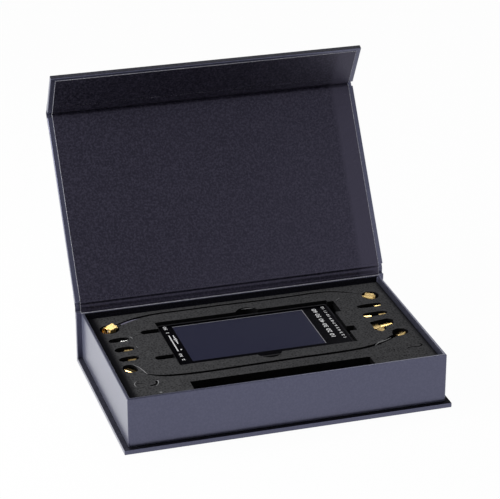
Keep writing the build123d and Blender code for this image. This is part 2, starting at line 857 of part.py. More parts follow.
with BuildPart() as foam_top:
    with BuildSketch(Plane.XY.offset(top_base)):
        Rectangle(foam_length, foam_depth)
        with BuildSketch(Plane.XY, mode=Mode.PRIVATE) as holes:
            device_outline()
            port_outline()
            bay_outline()
            slot_outline()
            elbow_outline()
            with Locations((-front_plug_x, front_plug_y), (front_plug_x, front_plug_y)):
                Circle(plug_pocket_radius)
        add(holes.sketch, mode=Mode.SUBTRACT)
    extrude(amount=foam_top_height)
    extrude(rear_cut.sketch, amount=foam_top_height, mode=Mode.SUBTRACT)
    extrude(front_cut.sketch, amount=foam_top_height, mode=Mode.SUBTRACT)
    with BuildSketch(Plane.XY.offset(surface_floor)):
        with Locations((-rear_plug_x, rear_plug_y)):
            Circle(surface_plug_pocket_radius)
    extrude(amount=foam_top_height, mode=Mode.SUBTRACT)
    with BuildSketch(Plane.XY.offset(rear_floor)):
        with Locations((rear_plug_x, rear_plug_y)):
            Circle(plug_pocket_radius)
    extrude(amount=foam_top_height, mode=Mode.SUBTRACT)
foam_top.part.label = "foam_top"
export_step(foam_top.part, "parts/foam_top.step")


# ==== analyzer housing
post_places = [
    (device_x + side * post_x, device_y + end * post_y) for side in (-1, 1) for end in (-1, 1)
]
key_hole = key_play + power_radius

with BuildPart() as rear_housing:
    with BuildSketch(Plane.XY.offset(device_base)):
        with Locations((device_x, device_y)):
            RectangleRounded(device_length, device_width, device_corner)
    extrude(amount=housing_height)
    with BuildSketch(Plane.XY.offset(device_base + housing_floor)):
        with Locations((device_x, device_y)):
            Rectangle(inner_length, inner_width)
    extrude(amount=housing_height, mode=Mode.SUBTRACT)
    with BuildSketch(Plane.XY.offset(device_base)):
        with Locations(*post_places):
            Circle(post_bore)
    extrude(amount=housing_floor, mode=Mode.SUBTRACT)
    with BuildSketch(Plane.XY.offset(device_base)):
        with Locations(*post_places):
            Circle(screw_head_radius + screw_head_play)
    extrude(amount=screw_head_height + screw_head_play, mode=Mode.SUBTRACT)
    with BuildSketch(Plane.YZ.offset(left_end)):
        with Locations(*[(place, port_z) for place in port_places]):
            Circle(port_collar_radius + port_hole_play)
    extrude(amount=housing_wall, mode=Mode.SUBTRACT)
    with BuildSketch(Plane.YZ.offset(right_inner)):
        with Locations((device_y, pcb_level + usb_height / 2)):
            RectangleRounded(usb_width + 2 * usb_play, usb_height + 2 * usb_play, usb_height / 2)
        with Locations(*[(place, control_z) for place in key_places]):
            RectangleRounded(key_width + 2 * key_play, key_height + 2 * key_play, cut_corner)
        with Locations((power_y, control_z)):
            Circle(key_hole)
    extrude(amount=housing_wall, mode=Mode.SUBTRACT)
rear_housing.part.label = "rear_housing"
export_step(rear_housing.part, "parts/rear_housing.step")

frame_height = device_height - housing_height
glass_length = device_length - 2 * frame_rim
glass_width = device_width - 2 * frame_rim

with BuildPart() as front_frame:
    with BuildSketch(Plane.XY.offset(frame_base)):
        with Locations((device_x, device_y)):
            RectangleRounded(device_length, device_width, device_corner)
    extrude(amount=frame_height)
    with BuildSketch(Plane.XY.offset(pcb_level)):
        with Locations(*post_places):
            Circle(post_radius)
    extrude(amount=frame_base - pcb_level)
    with BuildSketch(Plane.XY.offset(pcb_level)):
        with Locations(*post_places):
            Circle(screw_radius + screw_fit)
    extrude(amount=screw_length - pcb_lift, mode=Mode.SUBTRACT)
    with BuildSketch(Plane.XY.offset(glass_level)):
        with Locations((device_x, device_y)):
            RectangleRounded(glass_length, glass_width, glass_corner)
    extrude(amount=frame_height, mode=Mode.SUBTRACT)
    with BuildSketch(Plane.XY.offset(frame_base)):
        with Locations((window_x, window_y)):
            Rectangle(display_length + 2 * display_play, display_width + 2 * display_play)
    extrude(amount=frame_height, mode=Mode.SUBTRACT)
front_frame.part.label = "front_frame"
export_step(front_frame.part, "parts/front_frame.step")

with BuildPart() as touch_glass:
    with BuildSketch(Plane.XY.offset(glass_level)):
        with Locations((device_x, device_y)):
            RectangleRounded(
                glass_length - 2 * glass_play, glass_width - 2 * glass_play, glass_corner
            )
    extrude(amount=glass_height)
touch_glass.part.label = "touch_glass"
export_step(touch_glass.part, "parts/touch_glass.step")

with BuildPart() as display_gasket:
    with BuildSketch(Plane.XY.offset(gasket_level)):
        with Locations((window_x, window_y)):
            Rectangle(display_length, display_width)
            Rectangle(window_length, window_width, mode=Mode.SUBTRACT)
    extrude(amount=gasket_height)
display_gasket.part.label = "display_gasket"
export_step(display_gasket.part, "parts/display_gasket.step")

with BuildPart() as display_module:
    with BuildSketch(Plane.XY.offset(display_level)):
        with Locations((window_x, window_y)):
            Rectangle(display_length, display_width)
    extrude(amount=display_height)
display_module.part.label = "display_module"
export_step(display_module.part, "parts/display_module.step")

# ==== board and what it carries
with BuildPart() as main_board:
    with BuildSketch(Plane.XY.offset(pcb_base)):
        with Locations((device_x, device_y)):
            Rectangle(pcb_length, pcb_width)
        with Locations(*post_places):
            Circle(post_bore, mode=Mode.SUBTRACT)
    extrude(amount=pcb_height)
    with BuildSketch(Plane.XY.offset(pcb_level)):
        with Locations((device_x, device_y), (device_x + chip_step_x, device_y + chip_step_y)):
            Rectangle(chip_side, chip_side)
    extrude(amount=chip_height)
main_board.part.label = "main_board"
export_step(main_board.part, "parts/main_board.step")

shield_x = device_x - post_x + post_radius + shield_play + shield_length / 2
with BuildPart() as rf_shields:
    for place in port_places:
        with BuildSketch(Plane.XY.offset(pcb_level)):
            with Locations((shield_x, place)):
                Rectangle(shield_length, shield_width)
        extrude(amount=shield_height)
        with BuildSketch(Plane.XY.offset(pcb_level)):
            with Locations((shield_x, place)):
                Rectangle(shield_length - 2 * shield_wall, shield_width - 2 * shield_wall)
        extrude(amount=shield_height - shield_wall, mode=Mode.SUBTRACT)
rf_shields.part.label = "rf_shields"
export_step(rf_shields.part, "parts/rf_shields.step")

with BuildPart() as battery:
    with BuildSketch(Plane.XY.offset(device_base + housing_floor)):
        with Locations((device_x, device_y)):
            RectangleRounded(battery_length, battery_width, device_corner)
    extrude(amount=battery_height)
battery.part.label = "battery"
export_step(battery.part, "parts/battery.step")

with BuildPart() as standoffs:
    with BuildSketch(Plane.XY.offset(device_base + housing_floor)):
        with Locations(*post_places):
            Circle(post_radius)
            Circle(post_bore, mode=Mode.SUBTRACT)
    extrude(amount=pcb_lift)
standoffs.part.label = "standoffs"
export_step(standoffs.part, "parts/standoffs.step")

screw_seat = device_base + screw_head_height + screw_head_play
with BuildPart() as housing_screws:
    with BuildSketch(Plane.XY.offset(screw_seat - screw_head_height)):
        with Locations(*post_places):
            Circle(screw_head_radius)
    extrude(amount=screw_head_height)
    with BuildSketch(Plane.XY.offset(screw_seat)):
        with Locations(*post_places):
            Circle(screw_radius)
    extrude(amount=screw_length)
housing_screws.part.label = "housing_screws"
export_step(housing_screws.part, "parts/housing_screws.step")

flex_end = window_x + display_length / 2
flex_start = flex_end - flex_reach
with BuildPart() as display_flex:
    with BuildSketch(Plane.XZ.offset(-device_y - flex_width / 2)):
        with BuildLine():
            FilletPolyline(
                (flex_start, display_level - flex_height / 2),
                (flex_end, display_level - flex_height / 2),
                (flex_end, pcb_level + flex_height / 2),
                (flex_start, pcb_level + flex_height / 2),
                radius=flex_bend,
            )
        trace(line_width=flex_height)
    extrude(amount=flex_width)
display_flex.part.label = "display_flex"
export_step(display_flex.part, "parts/display_flex.step")

# ==== antenna ports
for step, place_y in enumerate(port_places, start=1):
    place = axis_plane(left_inner, place_y, port_z, 0)
    mouth = housing_wall + port_reach
    shell = [
        (0, -port_flange_height),
        (port_flange / 2, -port_flange_height),
        (port_flange / 2, 0),
        (port_collar_radius, 0),
        (port_collar_radius, housing_wall),
        *jack_front(housing_wall, mouth),
        (0, mouth - jack_bore_depth),
    ]
    port = turned(place, shell)
    port.part.label = f"port_{step}"
    export_step(port.part, f"parts/port_{step}.step")

with BuildPart() as port_insulators:
    for place_y in port_places:
        place = axis_plane(left_inner, place_y, port_z, 0)
        floor = housing_wall + port_reach - jack_bore_depth
        add(
            insulator(
                place,
                jack_bore - insert_play,
                contact_radius + insert_play,
                floor,
                floor + jack_bore_depth - sleeve_reach,
            ).part
        )
port_insulators.part.label = "port_insulators"
export_step(port_insulators.part, "parts/port_insulators.step")

with BuildPart() as port_contacts:
    for place_y in port_places:
        place = axis_plane(left_inner, place_y, port_z, 0)
        floor = housing_wall + port_reach - jack_bore_depth
        tip = floor + jack_bore_depth - sleeve_reach
        contact = [
            (0, floor),
            (contact_radius, floor),
            (contact_radius, tip),
            (contact_bore, tip),
            (contact_bore, tip - pin_reach),
            (0, tip - pin_reach),
        ]
        add(turned(place, contact).part)
port_contacts.part.label = "port_contacts"
export_step(port_contacts.part, "parts/port_contacts.step")

# ==== socket, switches and keys on the right end
with BuildPart() as usb_socket:
    with BuildSketch(Plane.YZ.offset(right_end)):
        with Locations((device_y, pcb_level + usb_height / 2)):
            SlotOverall(usb_width, usb_height)
    extrude(amount=-usb_depth)
    with BuildSketch(Plane.YZ.offset(right_end)):
        with Locations((device_y, pcb_level + usb_height / 2)):
            SlotOverall(usb_width - 2 * usb_wall, usb_height - 2 * usb_wall)
    extrude(amount=-usb_depth + usb_wall, mode=Mode.SUBTRACT)
    with BuildSketch(Plane.YZ.offset(right_end - usb_wall)):
        with Locations((device_y, pcb_level + usb_height / 2)):
            Rectangle(usb_tongue_width, usb_tongue_height)
    extrude(amount=-usb_depth + 2 * usb_wall)
usb_socket.part.label = "usb_socket"
export_step(usb_socket.part, "parts/usb_socket.step")

flange_face = right_inner - key_rest_gap
switch_face = flange_face - key_flange_height - key_travel - key_play
with BuildPart() as side_switches:
    with BuildSketch(Plane.XY.offset(pcb_level)):
        with Locations(*[(switch_face - switch_depth / 2, y) for y in (*key_places, power_y)]):
            Rectangle(switch_depth, switch_width)
    extrude(amount=switch_height)
side_switches.part.label = "side_switches"
export_step(side_switches.part, "parts/side_switches.step")

key_names = ["key_down", "key_enter", "key_up"]
for name, place_y in zip(key_names, key_places):
    with BuildPart() as key:
        with BuildSketch(Plane.YZ.offset(flange_face - key_flange_height)):
            with Locations((place_y, control_z)):
                Rectangle(key_width + 2 * key_flange + 2 * key_play, key_height + 2 * key_flange)
        extrude(amount=key_flange_height)
        with BuildSketch(Plane.YZ.offset(flange_face)):
            with Locations((place_y, control_z)):
                RectangleRounded(key_width, key_height, cut_corner)
        extrude(amount=right_end + key_reach - flange_face)
    key.part.label = name
    export_step(key.part, f"parts/{name}.step")

with BuildPart() as power_button:
    with BuildSketch(Plane.YZ.offset(flange_face - key_flange_height)):
        with Locations((power_y, control_z)):
            Circle(power_radius + key_flange + key_play)
    extrude(amount=key_flange_height)
    with BuildSketch(Plane.YZ.offset(flange_face)):
        with Locations((power_y, control_z)):
            Circle(power_radius)
    extrude(amount=right_end + key_reach - flange_face)
power_button.part.label = "power_button"
export_step(power_button.part, "parts/power_button.step")
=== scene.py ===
import json
import math

import bmesh
import bpy
from mathutils import Matrix, Vector


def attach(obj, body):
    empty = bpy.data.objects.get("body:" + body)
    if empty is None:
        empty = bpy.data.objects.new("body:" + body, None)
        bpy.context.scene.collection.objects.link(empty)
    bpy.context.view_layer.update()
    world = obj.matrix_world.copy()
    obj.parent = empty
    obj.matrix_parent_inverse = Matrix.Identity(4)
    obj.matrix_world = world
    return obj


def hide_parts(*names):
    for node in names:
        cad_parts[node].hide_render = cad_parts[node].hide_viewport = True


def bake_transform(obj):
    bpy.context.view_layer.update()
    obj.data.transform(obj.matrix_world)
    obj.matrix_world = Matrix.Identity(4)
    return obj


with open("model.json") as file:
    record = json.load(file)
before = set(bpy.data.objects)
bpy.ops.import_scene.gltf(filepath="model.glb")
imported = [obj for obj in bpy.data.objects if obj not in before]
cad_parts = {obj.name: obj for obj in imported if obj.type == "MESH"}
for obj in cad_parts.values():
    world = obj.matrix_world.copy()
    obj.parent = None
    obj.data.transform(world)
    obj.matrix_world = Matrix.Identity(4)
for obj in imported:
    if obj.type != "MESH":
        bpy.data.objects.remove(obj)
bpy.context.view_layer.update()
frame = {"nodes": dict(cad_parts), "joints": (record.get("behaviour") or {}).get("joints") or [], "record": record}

mm = 0.001
nodes = frame["nodes"]
bodyOf = {node: body for body, members in frame["record"]["behaviour"]["bodies"].items() for node in members}
slotOf = {row["node"]: row["material_slot"] for row in frame["record"]["subparts"]}
jointPlace = {joint["name"]: Vector(joint["pos_m"]) for joint in frame["joints"] if "pos_m" in joint}
hinge = jointPlace["lid_hinge"]
fold = jointPlace["flap_hinge"]


def placeObject(name, data):
    obj = bpy.data.objects.new(name, data)
    bpy.context.scene.collection.objects.link(obj)
    return obj


# camera
cameraValues = {
    "place": (-0.41117, -1.32361, 0.72956),
    "yaw": 0.29573,  # radians, clockwise from +Y
    "pitch": 0.42312,  # down from level
    "roll": -0.0011,
    "lens": 157.0,
    "sensor": 36.0,
    "clip": (0.05, 50.0),
}


def addCamera(values):
    yaw, pitch, roll = values["yaw"], values["pitch"], values["roll"]
    data = bpy.data.cameras.new("camera")
    data.lens = values["lens"]
    data.sensor_width = values["sensor"]
    data.clip_start, data.clip_end = values["clip"]
    camera = placeObject("camera", data)
    turn = (
        Matrix.Rotation(-yaw, 4, "Z")
        @ Matrix.Rotation(math.pi / 2 - pitch, 4, "X")
        @ Matrix.Rotation(-roll, 4, "Z")
    )
    camera.matrix_world = Matrix.Translation(values["place"]) @ turn
    bpy.context.scene.camera = camera


addCamera(cameraValues)
bpy.context.scene.view_settings.view_transform = "Standard"
print("camera set")


# shader groups
def newGroup(name, inputs, outputs):
    group = bpy.data.node_groups.new(name, "ShaderNodeTree")
    group.interface.new_socket("Vector", in_out="INPUT", socket_type="NodeSocketVector")
    for label in inputs:
        group.interface.new_socket(label, in_out="INPUT", socket_type="NodeSocketFloat")
    for label in outputs:
        group.interface.new_socket(label, in_out="OUTPUT", socket_type="NodeSocketFloat")
    return group, group.nodes.new("NodeGroupInput"), group.nodes.new("NodeGroupOutput")


def addNode(tree, kind, settings=(), values=()):
    node = tree.nodes.new(kind)
    for key, value in dict(settings).items():
        setattr(node, key, value)
    for key, value in dict(values).items():
        node.inputs[key].default_value = value
    return node


def wire(tree, *routes):
    # each route is a node, its output, the next node and its input
    for source, output, target, socket in routes:
        tree.links.new(source.outputs[output], target.inputs[socket])


def grainGroup():
    # fine paper grain: a height, a mask of specks and slow clouds
    group, start, end = newGroup(
        "paperGrain", ["Grain Scale", "Fibre Scale", "Cloud Scale"], ["Height", "Speck", "Cloud"]
    )
    fine = addNode(group, "ShaderNodeTexNoise", values={"Detail": 3.0, "Roughness": 0.6})
    fibre = addNode(group, "ShaderNodeTexNoise", values={"Detail": 2.0, "Roughness": 0.5, "Distortion": 1.2})
    cloud = addNode(group, "ShaderNodeTexNoise", values={"Detail": 3.0, "Roughness": 0.55})
    both = addNode(group, "ShaderNodeMath", {"operation": "MULTIPLY_ADD"}, {1: 0.5})
    speck = addNode(group, "ShaderNodeMapRange", values={"From Min": 0.42, "From Max": 0.66})
    for noise, scale in ((fine, "Grain Scale"), (fibre, "Fibre Scale"), (cloud, "Cloud Scale")):
        wire(group, (start, "Vector", noise, "Vector"), (start, scale, noise, "Scale"))
    wire(
        group,
        (fine, "Fac", both, 0), (fibre, "Fac", both, 2), (fine, "Fac", speck, "Value"),
        (both, 0, end, "Height"), (speck, "Result", end, "Speck"), (cloud, "Fac", end, "Cloud"),
    )
    return group


def cellGroup():
    # closed foam cells: a height, a mask of the pale cell walls and slow clouds
    group, start, end = newGroup("foamCells", ["Cell Scale", "Cloud Scale"], ["Height", "Wall", "Cloud"])
    cells = addNode(group, "ShaderNodeTexVoronoi", {"feature": "DISTANCE_TO_EDGE"})
    grain = addNode(group, "ShaderNodeTexNoise", values={"Detail": 4.0, "Roughness": 0.65})
    cloud = addNode(group, "ShaderNodeTexNoise", values={"Detail": 2.0})
    wall = addNode(group, "ShaderNodeMapRange", values={"From Max": 0.35, "To Min": 1.0, "To Max": 0.0})
    both = addNode(group, "ShaderNodeMath", {"operation": "MULTIPLY"})
    for texture, scale in ((cells, "Cell Scale"), (grain, "Cell Scale"), (cloud, "Cloud Scale")):
        wire(group, (start, "Vector", texture, "Vector"), (start, scale, texture, "Scale"))
    wire(
        group,
        (cells, "Distance", wall, "Value"), (wall, "Result", both, 0), (grain, "Fac", both, 1),
        (grain, "Fac", end, "Height"), (both, 0, end, "Wall"), (cloud, "Fac", end, "Cloud"),
    )
    return group


def smudgeGroup():
    # handling marks: a roughness that wanders between two values
    group, start, end = newGroup("smudges", ["Scale", "Clean", "Worn"], ["Roughness", "Mask"])
    noise = addNode(group, "ShaderNodeTexNoise", values={"Detail": 5.0, "Roughness": 0.6})
    level = addNode(group, "ShaderNodeMapRange", values={"From Min": 0.35, "From Max": 0.7})
    wire(
        group,
        (start, "Vector", noise, "Vector"), (start, "Scale", noise, "Scale"),
        (noise, "Fac", level, "Value"), (start, "Clean", level, "To Min"),
        (start, "Worn", level, "To Max"), (level, "Result", end, "Roughness"),
        (noise, "Fac", end, "Mask"),
    )
    return group


def sideShadeGroup():
    # how clear a place is of the two sides
    group, start, end = newGroup(
        "sideShade", ["Left Dark", "Left Clear", "Right Clear", "Right Dark"], ["Clear"]
    )
    split = addNode(group, "ShaderNodeSeparateXYZ")
    left = addNode(group, "ShaderNodeMapRange")
    right = addNode(group, "ShaderNodeMapRange", values={"To Min": 1.0, "To Max": 0.0})
    both = addNode(group, "ShaderNodeMath", {"operation": "MULTIPLY"})
    wire(
        group,
        (start, "Vector", split, "Vector"), (split, "X", left, "Value"), (split, "X", right, "Value"),
        (start, "Left Dark", left, "From Min"), (start, "Left Clear", left, "From Max"),
        (start, "Right Clear", right, "From Min"), (start, "Right Dark", right, "From Max"),
        (left, "Result", both, 0), (right, "Result", both, 1), (both, 0, end, "Clear"),
    )
    return group


grain, cells, smudges, sideShade = grainGroup(), cellGroup(), smudgeGroup(), sideShadeGroup()
print("shader groups built")


# materials
def newMaterial(name, shaderValues):
    material = bpy.data.materials.new(name)
    material.use_nodes = True
    shader = material.node_tree.nodes["Principled BSDF"]
    for key, value in shaderValues.items():
        shader.inputs[key].default_value = value
    return material, material.node_tree, shader


def placeGroup(tree, group, values):
    node = addNode(tree, "ShaderNodeGroup", {"node_tree": group}, values)
    wire(tree, (addNode(tree, "ShaderNodeTexCoord"), "Object", node, "Vector"))
    return node


def mixColours(tree, mask, first, second):
    # first and second are colours, or the outputs that give them
    mix = addNode(tree, "ShaderNodeMix", {"data_type": "RGBA"})
    tree.links.new(mask, mix.inputs["Factor"])
    for socket, colour in (("A", first), ("B", second)):
        if isinstance(colour, tuple):
            mix.inputs[socket].default_value = (*colour, 1)
        else:
            tree.links.new(colour, mix.inputs[socket])
    return mix.outputs["Result"]


def addBump(tree, shader, height, strength, distance):
    bump = addNode(tree, "ShaderNodeBump", values={"Strength": strength, "Distance": distance})
    tree.links.new(height, bump.inputs["Height"])
    wire(tree, (bump, "Normal", shader, "Normal"))


def fleckedMaterial(name, group, mask, values):
    # clouds of two colours, flecks of a third, and another along the sides where one is given
    material, tree, shader = newMaterial(name, values["shader"])
    node = placeGroup(tree, group, values["scales"])
    colour = mixColours(tree, node.outputs["Cloud"], values["dark"], values["mid"])
    colour = mixColours(tree, node.outputs[mask], colour, values["light"])
    if "sides" in values:
        clear = placeGroup(tree, sideShade, values["sides"])
        colour = mixColours(tree, clear.outputs["Clear"], values["sideColour"], colour)
    tree.links.new(colour, shader.inputs["Base Color"])
    addBump(tree, shader, node.outputs["Height"], values["bump"], values["relief"])
    return material


wrapValues = {
    "shader": {
        "Roughness": 0.33, "IOR": 1.85, "Specular IOR Level": 0.62, "Specular Tint": (0.58, 0.60, 1.0, 1.0),
        "Coat Weight": 1.0, "Coat IOR": 1.3, "Coat Roughness": 0.22,
        "Sheen Weight": 0.5, "Sheen Roughness": 0.4, "Sheen Tint": (0.72, 0.76, 1.0, 1.0),
    },
    "dark": (0.011, 0.011, 0.019), "mid": (0.017, 0.017, 0.029), "light": (0.034, 0.034, 0.052),
    "scales": {"Grain Scale": 760.0, "Fibre Scale": 300.0, "Cloud Scale": 12.0},
    "bump": 0.35, "relief": 0.00012,
}
liningValues = {
    "shader": {
        "Roughness": 0.37, "IOR": 1.75, "Specular IOR Level": 0.29, "Specular Tint": (0.70, 0.66, 1.0, 1.0),
    },
    "dark": (0.0, 0.0, 0.001), "mid": (0.011, 0.010, 0.017), "light": (0.036, 0.033, 0.050),
    "sideColour": (0.038, 0.035, 0.053),  # a paler band down the right edge
    "sides": {"Left Dark": -1.1, "Left Clear": -1.0, "Right Clear": 0.0985, "Right Dark": 0.1025},
    "scales": {"Grain Scale": 680.0, "Fibre Scale": 240.0, "Cloud Scale": 11.0},
    "bump": 0.6, "relief": 0.00018,
}
ledgeValues = {"shader": {"Roughness": 0.6, "Specular IOR Level": 0.3}}  # the rest as the wrap
shadeValues = {
    "shader": {"Roughness": 0.8, "Specular IOR Level": 0.08},
    "dark": (0.0015, 0.0015, 0.003), "mid": (0.004, 0.004, 0.007), "light": (0.010, 0.010, 0.016),
    "scales": {"Grain Scale": 760.0, "Fibre Scale": 300.0, "Cloud Scale": 12.0},
    "bump": 0.3, "relief": 0.0001,
}
# pale cut edges of the linings; on the tray's rim the pale edge is also a painted highlight along the rim
cutEdgeAndHighlightValues = {
    "shader": {"Roughness": 0.7},
    "dark": (0.30, 0.30, 0.35), "mid": (0.44, 0.44, 0.50), "light": (0.66, 0.66, 0.70),
    "scales": {"Grain Scale": 1500.0, "Fibre Scale": 500.0, "Cloud Scale": 60.0},
    "bump": 0.3, "relief": 0.00005,
}
wrapPaper = fleckedMaterial("wrapPaper", grain, "Speck", wrapValues)
liningPaper = fleckedMaterial("liningPaper", grain, "Speck", liningValues)
ledgePaper = fleckedMaterial("ledgePaper", grain, "Speck", {**wrapValues, **ledgeValues})
cutEdgeAndHighlight = fleckedMaterial("cutPaperEdge", grain, "Speck", cutEdgeAndHighlightValues)
shadePaper = fleckedMaterial("shadedPaper", grain, "Speck", shadeValues)

foamLook = {
    "shader": {"Roughness": 0.9, "Specular IOR Level": 0.1},
    "dark": (0.012, 0.012, 0.013), "mid": (0.034, 0.034, 0.036), "light": (0.100, 0.100, 0.104),
    # painted shade: the foam turns near black close to the left and right walls, where their shade falls
    "sideColour": (0.005, 0.005, 0.007),
    "sides": {"Left Dark": -0.1070, "Left Clear": -0.1030, "Right Clear": 0.1085, "Right Dark": 0.1120},
    "scales": {"Cell Scale": 460.0, "Cloud Scale": 120.0},
    "bump": 0.9, "relief": 0.0005,
}
# cut foam, painted near black as painted shade inside the cuts, pockets and bays
foamCutAndShadeLook = {
    "shader": {"Roughness": 1.0, "Specular IOR Level": 0.0},
    "dark": (0.002, 0.002, 0.002), "mid": (0.005, 0.005, 0.006), "light": (0.016, 0.016, 0.017),
    "scales": {"Cell Scale": 460.0, "Cloud Scale": 120.0},
    "bump": 0.8, "relief": 0.0004,
}
# pale torn foam, which also serves as a painted highlight on the lit cut edges of the foam
tornAndHighlightValues = {
    "shader": {"Roughness": 0.8},
    "dark": (0.14, 0.14, 0.15), "mid": (0.24, 0.24, 0.25), "light": (0.42, 0.42, 0.42),
    "scales": {"Cell Scale": 2500.0, "Cloud Scale": 200.0},
    "bump": 0.6, "relief": 0.0001,
}
foamSkin = fleckedMaterial("foam", cells, "Wall", foamLook)
foamCut = fleckedMaterial("foamCut", cells, "Wall", foamCutAndShadeLook)
tornFoam = fleckedMaterial("tornFoam", cells, "Wall", tornAndHighlightValues)


def smudgedMaterial(name, first, second, scale, clean, worn, bump, gloss, others=()):
    material, tree, shader = newMaterial(name, {"Specular IOR Level": gloss, **dict(others)})
    group = placeGroup(tree, smudges, {"Scale": scale, "Clean": clean, "Worn": worn})
    colour = mixColours(tree, group.outputs["Mask"], first, second)
    tree.links.new(colour, shader.inputs["Base Color"])
    wire(tree, (group, "Roughness", shader, "Roughness"))
    if bump:
        addBump(tree, shader, group.outputs["Mask"], *bump)
    return material


metal = {"Metallic": 1.0}
smudgedValues = {
    # two colours, scale of the marks, roughness clean and worn, bump and its depth, gloss, other inputs
    "goldPlate": ((0.72, 0.48, 0.16), (0.95, 0.72, 0.34), 260.0, 0.2, 0.38, (0.15, 0.00004), 0.5, metal),
    "silverPlate": ((0.72, 0.71, 0.68), (0.9, 0.89, 0.87), 260.0, 0.2, 0.35, (0.1, 0.00004), 0.5, metal),
    "steel": ((0.46, 0.46, 0.47), (0.62, 0.62, 0.63), 300.0, 0.25, 0.4, (0.1, 0.00004), 0.5, metal),
    "tin": ((0.58, 0.59, 0.6), (0.75, 0.75, 0.74), 120.0, 0.3, 0.5, (0.1, 0.00005), 0.5, metal),
    "blackAnodised": (
        (0.01, 0.01, 0.012), (0.018, 0.018, 0.021), 500.0, 0.38, 0.52, (0.25, 0.00003), 0.5,
        {"Metallic": 0.6},
    ),
    "blackGlass": ((0.0006, 0.0006, 0.001), (0.0012, 0.0012, 0.002), 40.0, 0.06, 0.14, None, 0.08),
    "screenOff": ((0.021, 0.022, 0.046), (0.024, 0.026, 0.051), 18.0, 0.12, 0.22, None, 0.4),
    # a pale strip on the window's back and right edges: the screen's rim, with a painted highlight along it
    "screenRim": ((0.24, 0.24, 0.26), (0.4, 0.4, 0.42), 90.0, 0.3, 0.5, None, 0.5),
    "printedWhite": ((0.84, 0.84, 0.86), (0.95, 0.95, 0.96), 900.0, 0.3, 0.5, None, 0.4),
    "blackPlastic": ((0.012, 0.012, 0.013), (0.02, 0.02, 0.022), 700.0, 0.38, 0.55, (0.3, 0.00004), 0.5),
    "rubber": ((0.008, 0.008, 0.008), (0.016, 0.016, 0.016), 400.0, 0.55, 0.75, (0.3, 0.00004), 0.4),
    "whiteInsulator": (
        (0.8, 0.79, 0.76), (0.88, 0.87, 0.84), 500.0, 0.3, 0.45, None, 0.45,
        {"Subsurface Weight": 0.1, "Subsurface Scale": 0.0005},
    ),
    # painted highlight: the lead's dark jacket is painted a pale lilac so that it shows as a lit line
    "leadJacket": (
        (0.15, 0.142, 0.21), (0.22, 0.208, 0.3), 350.0, 0.24, 0.34, (0.2, 0.00004), 0.6,
        {"Coat Weight": 0.3, "Coat Roughness": 0.2},
    ),
    "circuitBoard": (
        (0.008, 0.07, 0.028), (0.014, 0.105, 0.045), 350.0, 0.22, 0.36, (0.3, 0.00006), 0.5,
        {"Coat Weight": 0.3, "Coat Roughness": 0.1},
    ),
    "flexFilm": ((0.38, 0.16, 0.03), (0.52, 0.25, 0.06), 220.0, 0.2, 0.35, None, 0.5),
    "foilPouch": (
        (0.5, 0.51, 0.53), (0.66, 0.66, 0.68), 70.0, 0.28, 0.45, (0.5, 0.0003), 0.5, {"Metallic": 0.9},
    ),
}
finish = {name: smudgedMaterial(name, *values) for name, values in smudgedValues.items()}

nodeFinish = {
    "wrapped_board": wrapPaper,
    "crease_paper": wrapPaper,
    "lining_paper": liningPaper,
    "foam": foamSkin,
    "magnet_steel": finish["steel"],
    "housing_metal": finish["blackAnodised"],
    "cover_glass": finish["blackGlass"],
    "display_panel": finish["screenOff"],
    "shield_tin": finish["tin"],
    "battery_foil": finish["foilPouch"],
}


def camelCase(name):
    first, *rest = name.split("_")
    return first + "".join(part.capitalize() for part in rest)


for name, node in nodes.items():
    slotName = slotOf[name]
    if slotName not in nodeFinish:
        nodeFinish[slotName] = finish[camelCase(slotName)]
    # the carried foam layers take the cut colour with its painted shade
    node.data.materials.clear()
    node.data.materials.append(foamCut if slotName == "foam" else nodeFinish[slotName])
print("materials on", len(nodes), "carried nodes")


# making pieces
meshValues = {
    "merge": 2e-6,  # metres between points that are one
    "turnedMerge": 1e-6,
    "fineMerge": 1e-7,
    "flat": 0.5,  # degrees between faces that are one
    "bend": 35,  # degrees between the faces of a curved surface
    "narrow": 1.5 * mm,
}


def takeMesh(bm, name):
    mesh = bpy.data.meshes.new(name)
    bm.to_mesh(mesh)
    bm.free()
    return mesh


def heldMesh(mesh):
    # the shape of a mesh that is used up
    bm = bmesh.new()
    bm.from_mesh(mesh)
    bpy.data.meshes.remove(mesh)
    return bm


def evaluatedMesh(obj):
    return bpy.data.meshes.new_from_object(obj.evaluated_get(bpy.context.evaluated_depsgraph_get()))


def curveMesh(curve):
    # the mesh of a curve or of words, which are used up
    obj = placeObject("curve", curve)
    mesh = evaluatedMesh(obj)
    bpy.data.objects.remove(obj)
    bpy.data.curves.remove(curve)
    return mesh


def sharpEdges(bm, angle):
    edges = (edge for edge in bm.edges if len(edge.link_faces) == 2)
    return [edge for edge in edges if edge.calc_face_angle(0) > math.radians(angle)]


def finishPiece(bm, name, body, materials, hides=()):
    bmesh.ops.recalc_face_normals(bm, faces=bm.faces)
    for edge in sharpEdges(bm, 40):
        edge.smooth = False
    piece = placeObject(name, takeMesh(bm, name))
    for material in materials:
        piece.data.materials.append(material)
    if hides:
        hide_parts(*hides)
    if body:
        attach(piece, body)
    return piece


def finishNode(bm, node, materials, name=None):
    # a piece in place of a carried node, with the node's own name where none is given
    return finishPiece(bm, name or camelCase(node), bodyOf[node], materials, [node])


